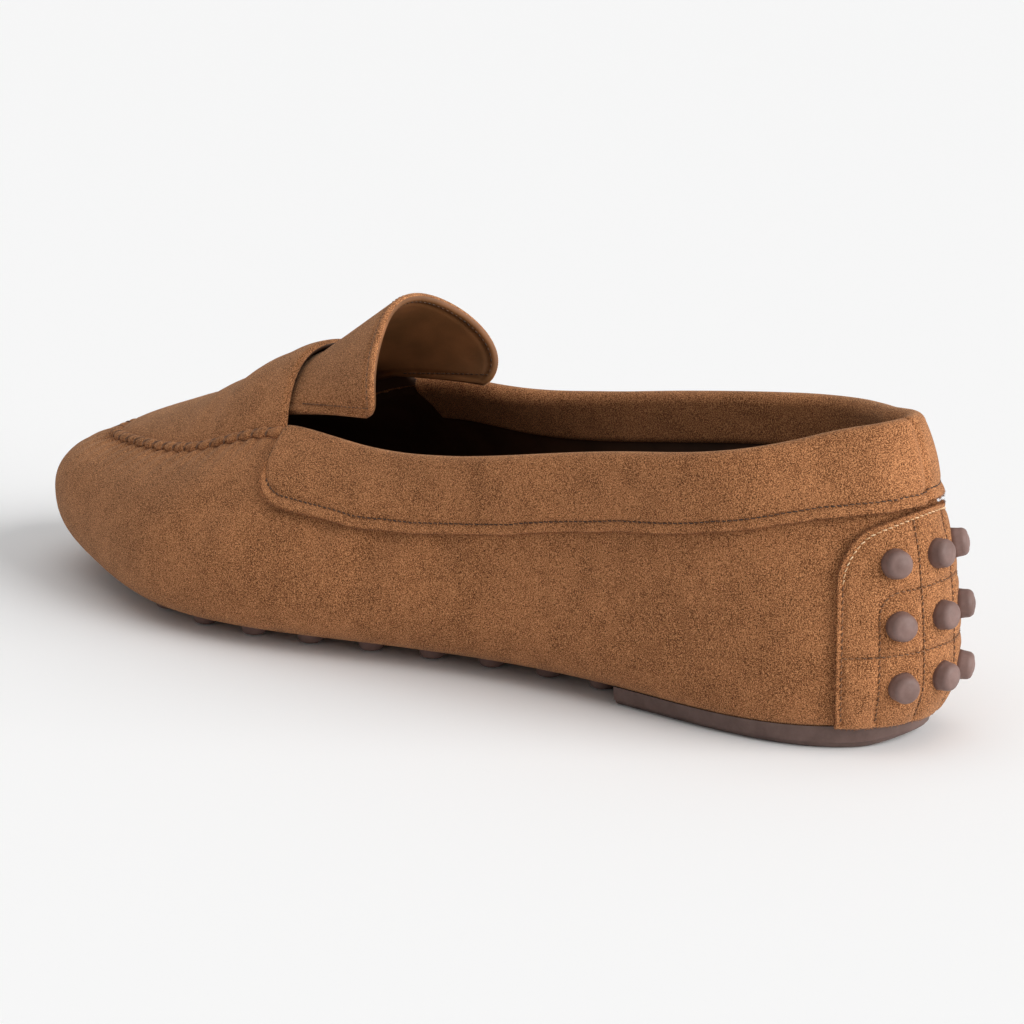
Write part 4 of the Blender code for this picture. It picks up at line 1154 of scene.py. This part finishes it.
# %% Studs under the foot
SOLE_STUD_STAND = 4.0 * MM
SOLE_STUD_STEP = 16.5 * MM
SOLE_STUD_SPACING = 15.2 * MM
PLATE_TOE_GAP = 22.0 * MM
PLATE_EDGE = 1.2 * MM
margin = STUD_RADIUS + GAP
sole_centres, sole_axes = [], []
row_count = int((LENGTH - PLATE_TOE_GAP - margin - STUDS_START) / SOLE_STUD_STEP) + 1
for row in range(row_count):
    near = STUDS_START + row * SOLE_STUD_STEP + STUD_RADIUS * np.array((-1.0, 0.0, 1.0))
    outer_edge = wall(u_at_length(near, -1), 0.0) + np.array([PLATE_EDGE, 0.0, 0.0])
    inner_edge = wall(u_at_length(near, 1), 0.0) - np.array([PLATE_EDGE, 0.0, 0.0])
    low_x, high_x = outer_edge[:, 0].max() + margin, inner_edge[:, 0].min() - margin
    heights = (outer_edge[:, 2] + inner_edge[:, 2]) / 2
    slope = (heights[2] - heights[0]) / (near[2] - near[0])
    for x in np.linspace(low_x, high_x, max(2, round((high_x - low_x) / SOLE_STUD_SPACING) + 1)):
        sole_centres.append((x, near[1] + PLACE[1], heights[1]))
        sole_axes.append((0.0, slope, -1.0))
sole_studs = turned("sole_studs_rubber", sole_centres, sole_axes,
                    stud_profile(-0.2 * MM, SOLE_STUD_STAND), 28, rubber)
print("studs under the foot:", len(sole_centres))

# %% [markdown]
# ## The heel pad
# The pad is one rubber moulding under the heel. Its rim is a grid round its outline, and its top
# and bottom are ladders of faces from side to side.

# %% Heel pad
PAD_EDGE_SHARE = 0.10
PAD_BEVEL_LENGTH = 12.5 * MM
PAD_BEVEL_RISE = 5.0 * MM
PAD_ROUND = 2.0 * MM
pad_y = np.linspace(0.0, 1.0, 90) ** 1.6 * PAD_LENGTH
pad_u = np.concatenate([u_at_length(pad_y[::-1], 1) - 1.0, u_at_length(pad_y[1:], -1)])
pad_top = wall(pad_u, PAD_EDGE_SHARE, GAP)
pad_dish = wall(pad_u, 0.0, GAP)
outward = wall_normal(pad_u, np.full_like(pad_u, CORNER_SHARE))
outward[:, 2] = 0.0
pad_low = pad_top - outward * 0.6 * MM
back = np.clip(1.0 - (pad_low[:, 1] - PLACE[1]) / PAD_BEVEL_LENGTH, 0.0, 1.0)
pad_low[:, 2] = PAD_BEVEL_RISE * back**2
rings = [pad_dish, pad_top]
for share in (0.35, 0.7):
    rings.append(pad_top + (pad_low - pad_top) * share + outward * 0.15 * MM)
for angle in np.radians((10.0, 40.0, 70.0, 90.0)):
    rings.append(pad_low - outward * PAD_ROUND * (1.0 - math.cos(angle))
                 + np.array([0.0, 0.0, PAD_ROUND]) * (1.0 - math.sin(angle)))
pad_points = np.stack(rings, axis=1)
pad_rows, pad_columns = pad_points.shape[:2]
index = np.arange(pad_rows * pad_columns).reshape(pad_rows, pad_columns)
pad_faces = grid_quads(pad_rows, pad_columns, loop=True).tolist()
for column in (0, -1):
    for row in range(pad_rows // 2):
        pad_faces.append(list(dict.fromkeys(index[[row, row + 1, -2 - row, -1 - row], column].tolist())))
# The pad takes the rubber painted darker, as painted shade.
pad = finish_mesh("heel_pad_rubber", pad_points.reshape(-1, 3), pad_faces, [rubber_with_painted_shade])
pad.data.set_sharp_from_angle(angle=math.radians(45))
print("pad height in mm:", round((pad_top[0, 2] - pad_low[0, 2]) / MM, 1))

# %% [markdown]
# ## Inside the shoe
# The insole is a leather sock on the floor of the shoe, and a piece of suede grips the heel.

# %% Insole and heel grip
INSOLE_WALL = 2.5 * MM
INSOLE_RAMP = 18.0 * MM
INSOLE_RAMP_GAP = 12.0 * MM


def insole_edge(u):
    """The insole's lower edge at u."""
    front = smooth_step((LAST(u)[:, 1] - STUDS_START + INSOLE_RAMP_GAP) / INSOLE_RAMP + 1.0)
    height = wall(u, 0.0)[:, 2] + WALL + GAP + front * (PLATE_WALL + GAP)
    tries = np.linspace(0.0, 0.5, 120)
    inside = wall(np.repeat(u[:, None], 120, axis=1), np.repeat(tries[None], len(u), axis=0),
                  -WALL - 2.0 * GAP)
    edge_v = np.array([np.interp(goal, line[:, 2], tries) for goal, line in zip(height, inside)])
    edge = wall(u, edge_v, -WALL - 2.0 * GAP)
    edge[:, 2] = height
    return edge


sock_outer, sock_inner = insole_edge(base_outer), insole_edge(base_inner)
share = np.linspace(0.0, 1.0, 41)[None, :, None]
sock_back = sock_outer[:, None] * (1.0 - share) + sock_inner[:, None] * share
full = edge_round(np.minimum(share, 1.0 - share) * 60.0 * MM, 1.2 * MM)
sock_front = sock_back + np.array([0.0, 0.0, INSOLE_WALL]) * (0.5 + 0.5 * full)
insole = sheet("insole_sock", sock_front, sock_back, [lining])

GRIP_HALF = 62.0 * MM
GRIP_FOOT_SHARE = 0.30
GRIP_COLUMNS = 160
GRIP_LEVELS = 40
grip_across = np.linspace(-1.0, 1.0, GRIP_COLUMNS)
grip_u = u_at_arc(grip_across * GRIP_HALF)
grip_top = v_below_rim(grip_u, BAND_TURN_IN - 1.5 * MM)
u = np.repeat(grip_u[:, None], GRIP_LEVELS, axis=1)
v = GRIP_FOOT_SHARE + (grip_top - GRIP_FOOT_SHARE)[:, None] * np.linspace(0.0, 1.0, GRIP_LEVELS)
side_distance = (1.0 - np.abs(grip_across))[:, None] * GRIP_HALF
full = edge_round(side_distance, 1.0 * MM) * np.ones_like(u)
grip_front = wall(u, v, -WALL - 0.1 * MM - 0.8 * MM * full)
grip_back = wall(u, v, -WALL - 0.05 * MM)
grip = sheet("heel_grip_suede", grip_front, grip_back, [edge_suede])
print("insole and heel grip are in")

# %% [markdown]
# ## The tongue
# The tongue starts under the plug and stands up in an arch, suede outside and lining inside, with
# a stitched edge. It is a ruled sheet between its root and its free end.

# %% Tongue
TONGUE_REACH = 29.0 * MM
TONGUE_RISE = 19.5 * MM
TONGUE_LEAN = 0.67
TONGUE_ROOT_SHARE = 0.86
TONGUE_SIDE_GAP = 1.2 * MM
TONGUE_TURN_DEGREES = 97.4
TONGUE_FLARE = 2.7 * MM
TONGUE_FLAT_SHARE = 0.35
TONGUE_ARCH = 25.0 * MM
TONGUE_CORNER = 16.0 * MM
TONGUE_WALL = 2.2 * MM
across = np.sin(np.linspace(-1.0, 1.0, 101) * math.pi / 2)
root = plug_point(np.zeros(101), across * TONGUE_ROOT_SHARE)
deep = plug_point(np.full(101, 1.0 / 12), across * TONGUE_ROOT_SHARE)
under = np.cross(np.gradient(root, axis=0), deep - root)
under /= np.linalg.norm(under, axis=1, keepdims=True)
under *= -np.sign(under[50, 2])
root = root + under * (WALL + GAP + 0.2 * MM)
deep = deep + under * (WALL + GAP + 0.5 * MM)
centre = root[50]
corner = np.clip((np.abs(across) - TONGUE_FLAT_SHARE) / (1.0 - TONGUE_FLAT_SHARE), 0.0, 1.0)
turn = across * math.radians(TONGUE_TURN_DEGREES)
arch_drop = TONGUE_ARCH * (1.0 - np.cos(turn))
setback = TONGUE_CORNER * (1.0 - np.sqrt(1.0 - 0.97 * corner**2))
end_y = centre[1] - TONGUE_REACH - TONGUE_LEAN * arch_drop + setback
rim_outer = wall(np.linspace(0.0, THROAT_OUTER_U, 200), 1.0)
rim_inner = wall(np.linspace(1.0, THROAT_INNER_U, 200), 1.0)
left = np.interp(end_y, rim_outer[:, 1], rim_outer[:, 0])
right = np.interp(end_y, rim_inner[:, 1], rim_inner[:, 0])
wide = (right - left) / 2 - (WALL + GAP + BAND_WALL + TONGUE_SIDE_GAP)
wide = wide + TONGUE_FLARE * np.sin(math.pi * across**2)
end = np.stack([(left + right) / 2 + wide * np.sin(turn), end_y, centre[2] + TONGUE_RISE - arch_drop],
               axis=-1)
part = np.linspace(0.0, 1.0, 70)[:, None, None]
tongue_grid = np.concatenate([deep[None], root + (end - root) * part])
normals = grid_normals(tongue_grid)
normals *= np.sign(normals[30, 50, 2])
side_length = np.linalg.norm(np.diff(tongue_grid, axis=1), axis=-1)
from_left = np.concatenate([np.zeros((71, 1)), np.cumsum(side_length, axis=1)], axis=1)
from_side = np.minimum(from_left, from_left[:, -1:] - from_left)
from_end = np.linalg.norm(tongue_grid[-1:] - tongue_grid, axis=-1)
tongue_edge = np.minimum(from_side, from_end)
full = edge_round(tongue_edge, 1.0 * MM)[..., None]
groove = 0.30 * MM * np.exp(-(((tongue_edge - 2.6 * MM) / (0.7 * MM)) ** 2))[..., None]
tongue_front = tongue_grid - normals * ((1.0 - full) * 0.45 * TONGUE_WALL + groove)
tongue_back = tongue_grid - normals * (TONGUE_WALL * (0.55 + 0.45 * full) - groove)
tongue = sheet("tongue_suede", tongue_front, tongue_back, [suede, tongue_lining])

row_in, column_in = 4, 13
stitch_path = np.concatenate([tongue_grid[8:-row_in, column_in], tongue_grid[-row_in, column_in:-column_in],
                              tongue_grid[-row_in:8:-1, -column_in]])
stitch_up = np.concatenate([normals[8:-row_in, column_in], normals[-row_in, column_in:-column_in],
                            normals[-row_in:8:-1, -column_in]])
tongue_threads = [
    stitches("tongue_stitches_outside", stitch_path - stitch_up * 0.1 * MM, stitch_up, THREAD_STEP,
             0.7 * THREAD_STEP, THREAD_RADIUS, brown_thread),
    stitches("tongue_stitches_inside", stitch_path - stitch_up * (TONGUE_WALL - 0.1 * MM), -stitch_up,
             THREAD_STEP,
             0.7 * THREAD_STEP, THREAD_RADIUS, dark_thread),
]
print("tongue stands to, in mm:", round(tongue_grid[..., 2].max() / MM, 1))

# %% [markdown]
# ## Joining the frame
# The shoe has no joint, so all pieces ride on one body. Each piece says which solid it stands for.

# %% Ride and replace; the slot names in the list are not used
rides = [
    (body, "suede", ["upper"]), (base, "suede", []), (plug, "suede", []), (rope, "suede", []),
    (cross_threads, "suede", []), (band_fray, "suede", []), (patch_fray, "suede", []),
    (band, "suede", ["collar_band"]), (band_stitches, "suede", []), (patch, "suede", ["heel_patch"]),
    (heel_studs, "rubber", ["heel_studs"]), (sole_studs, "rubber", ["sole_studs"]),
    (pad, "rubber", ["heel_pad"]), (insole, "lining", ["insole"]), (grip, "suede", []),
    (tongue, "suede", ["tongue"]), *[(thread, "suede", []) for thread in patch_threads + tongue_threads],
]
for piece, slot, nodes in rides:
    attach(piece, "root")
    if nodes:
        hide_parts(*nodes)
print("pieces:", len(rides))

# %% [markdown]
# ## Floor, light and camera
# A studio photograph has a pale sweep and large soft lamps. A big plane is the floor, the world
# gives an even white light, and two wide soft suns model the form. The camera stands low behind the
# outer side of the shoe with a long lens, as in the photograph.

# %% Floor and light
floor_mesh = bpy.data.meshes.new("floor")
floor_mesh.from_pydata([(-6, -6, 0), (6, -6, 0), (6, 6, 0), (-6, 6, 0)], [], [(0, 1, 2, 3)])
floor = bpy.data.objects.new("floor", floor_mesh)
bpy.context.scene.collection.objects.link(floor)
floor_material, tree, shader, place = new_material("pale_paper_floor")
shader.inputs["Base Color"].default_value = linear("#f7f7f7")
shader.inputs["Roughness"].default_value = 0.9
floor_mesh.materials.append(floor_material)
floor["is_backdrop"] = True

world = bpy.data.worlds.new("studio")
bpy.context.scene.world = world
world.use_nodes = True
world.node_tree.nodes["Background"].inputs["Color"].default_value = linear("#ffffff")
world.node_tree.nodes["Background"].inputs["Strength"].default_value = 0.40


def soft_sun(name, place, strength, spread):
    """A lamp that lights the whole floor evenly, from the direction of a place."""
    data = bpy.data.lights.new(name, "SUN")
    data.energy, data.angle = strength, math.radians(spread)
    made = bpy.data.objects.new(name, data)
    made.rotation_euler = Vector(place).to_track_quat("Z", "Y").to_euler()
    bpy.context.scene.collection.objects.link(made)


soft_sun("key_behind_the_heel", (0.3, -1.5, 0.60), 3.6, 55.0)
soft_sun("top_light", (-0.1, 0.1, 1.7), 0.60, 60.0)
bpy.context.scene.view_settings.view_transform = "Standard"

# %% Camera
CAMERA_PLACE = Vector((-798.5 * MM, -524.8 * MM, 313.1 * MM)) + Vector(PLACE)
IMAGE_WIDTH = 1024
camera_data = bpy.data.cameras.new("camera")
camera = bpy.data.objects.new("camera", camera_data)
bpy.context.scene.collection.objects.link(camera)
bpy.context.scene.camera = camera
camera_data.sensor_width = 36.0
camera_data.clip_end = 20.0
camera_data.lens = 147.0
AIM = Vector((0.0022, -0.0071, 0.0345))
camera.location = CAMERA_PLACE
camera.rotation_euler = (AIM - CAMERA_PLACE).to_track_quat("-Z", "Y").to_euler()
bpy.context.view_layer.update()
focal = camera_data.lens / camera_data.sensor_width * IMAGE_WIDTH
to_camera = camera.matrix_world.inverted()
body_places = body_front[::8, ::6].reshape(-1, 3)
seen = np.array([to_camera @ Vector(point) for point in body_places])
across_picture = IMAGE_WIDTH / 2 + focal * seen[:, 0] / -seen[:, 2]
down_picture = IMAGE_WIDTH / 2 - focal * seen[:, 1] / -seen[:, 2]
print("shoe in the picture:", across_picture.min().round(), across_picture.max().round(),
      down_picture.min().round(), down_picture.max().round())

# %% The visual size of the shoe
low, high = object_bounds()
print("visual size in mm:", [round(side / MM, 1) for side in high - low])
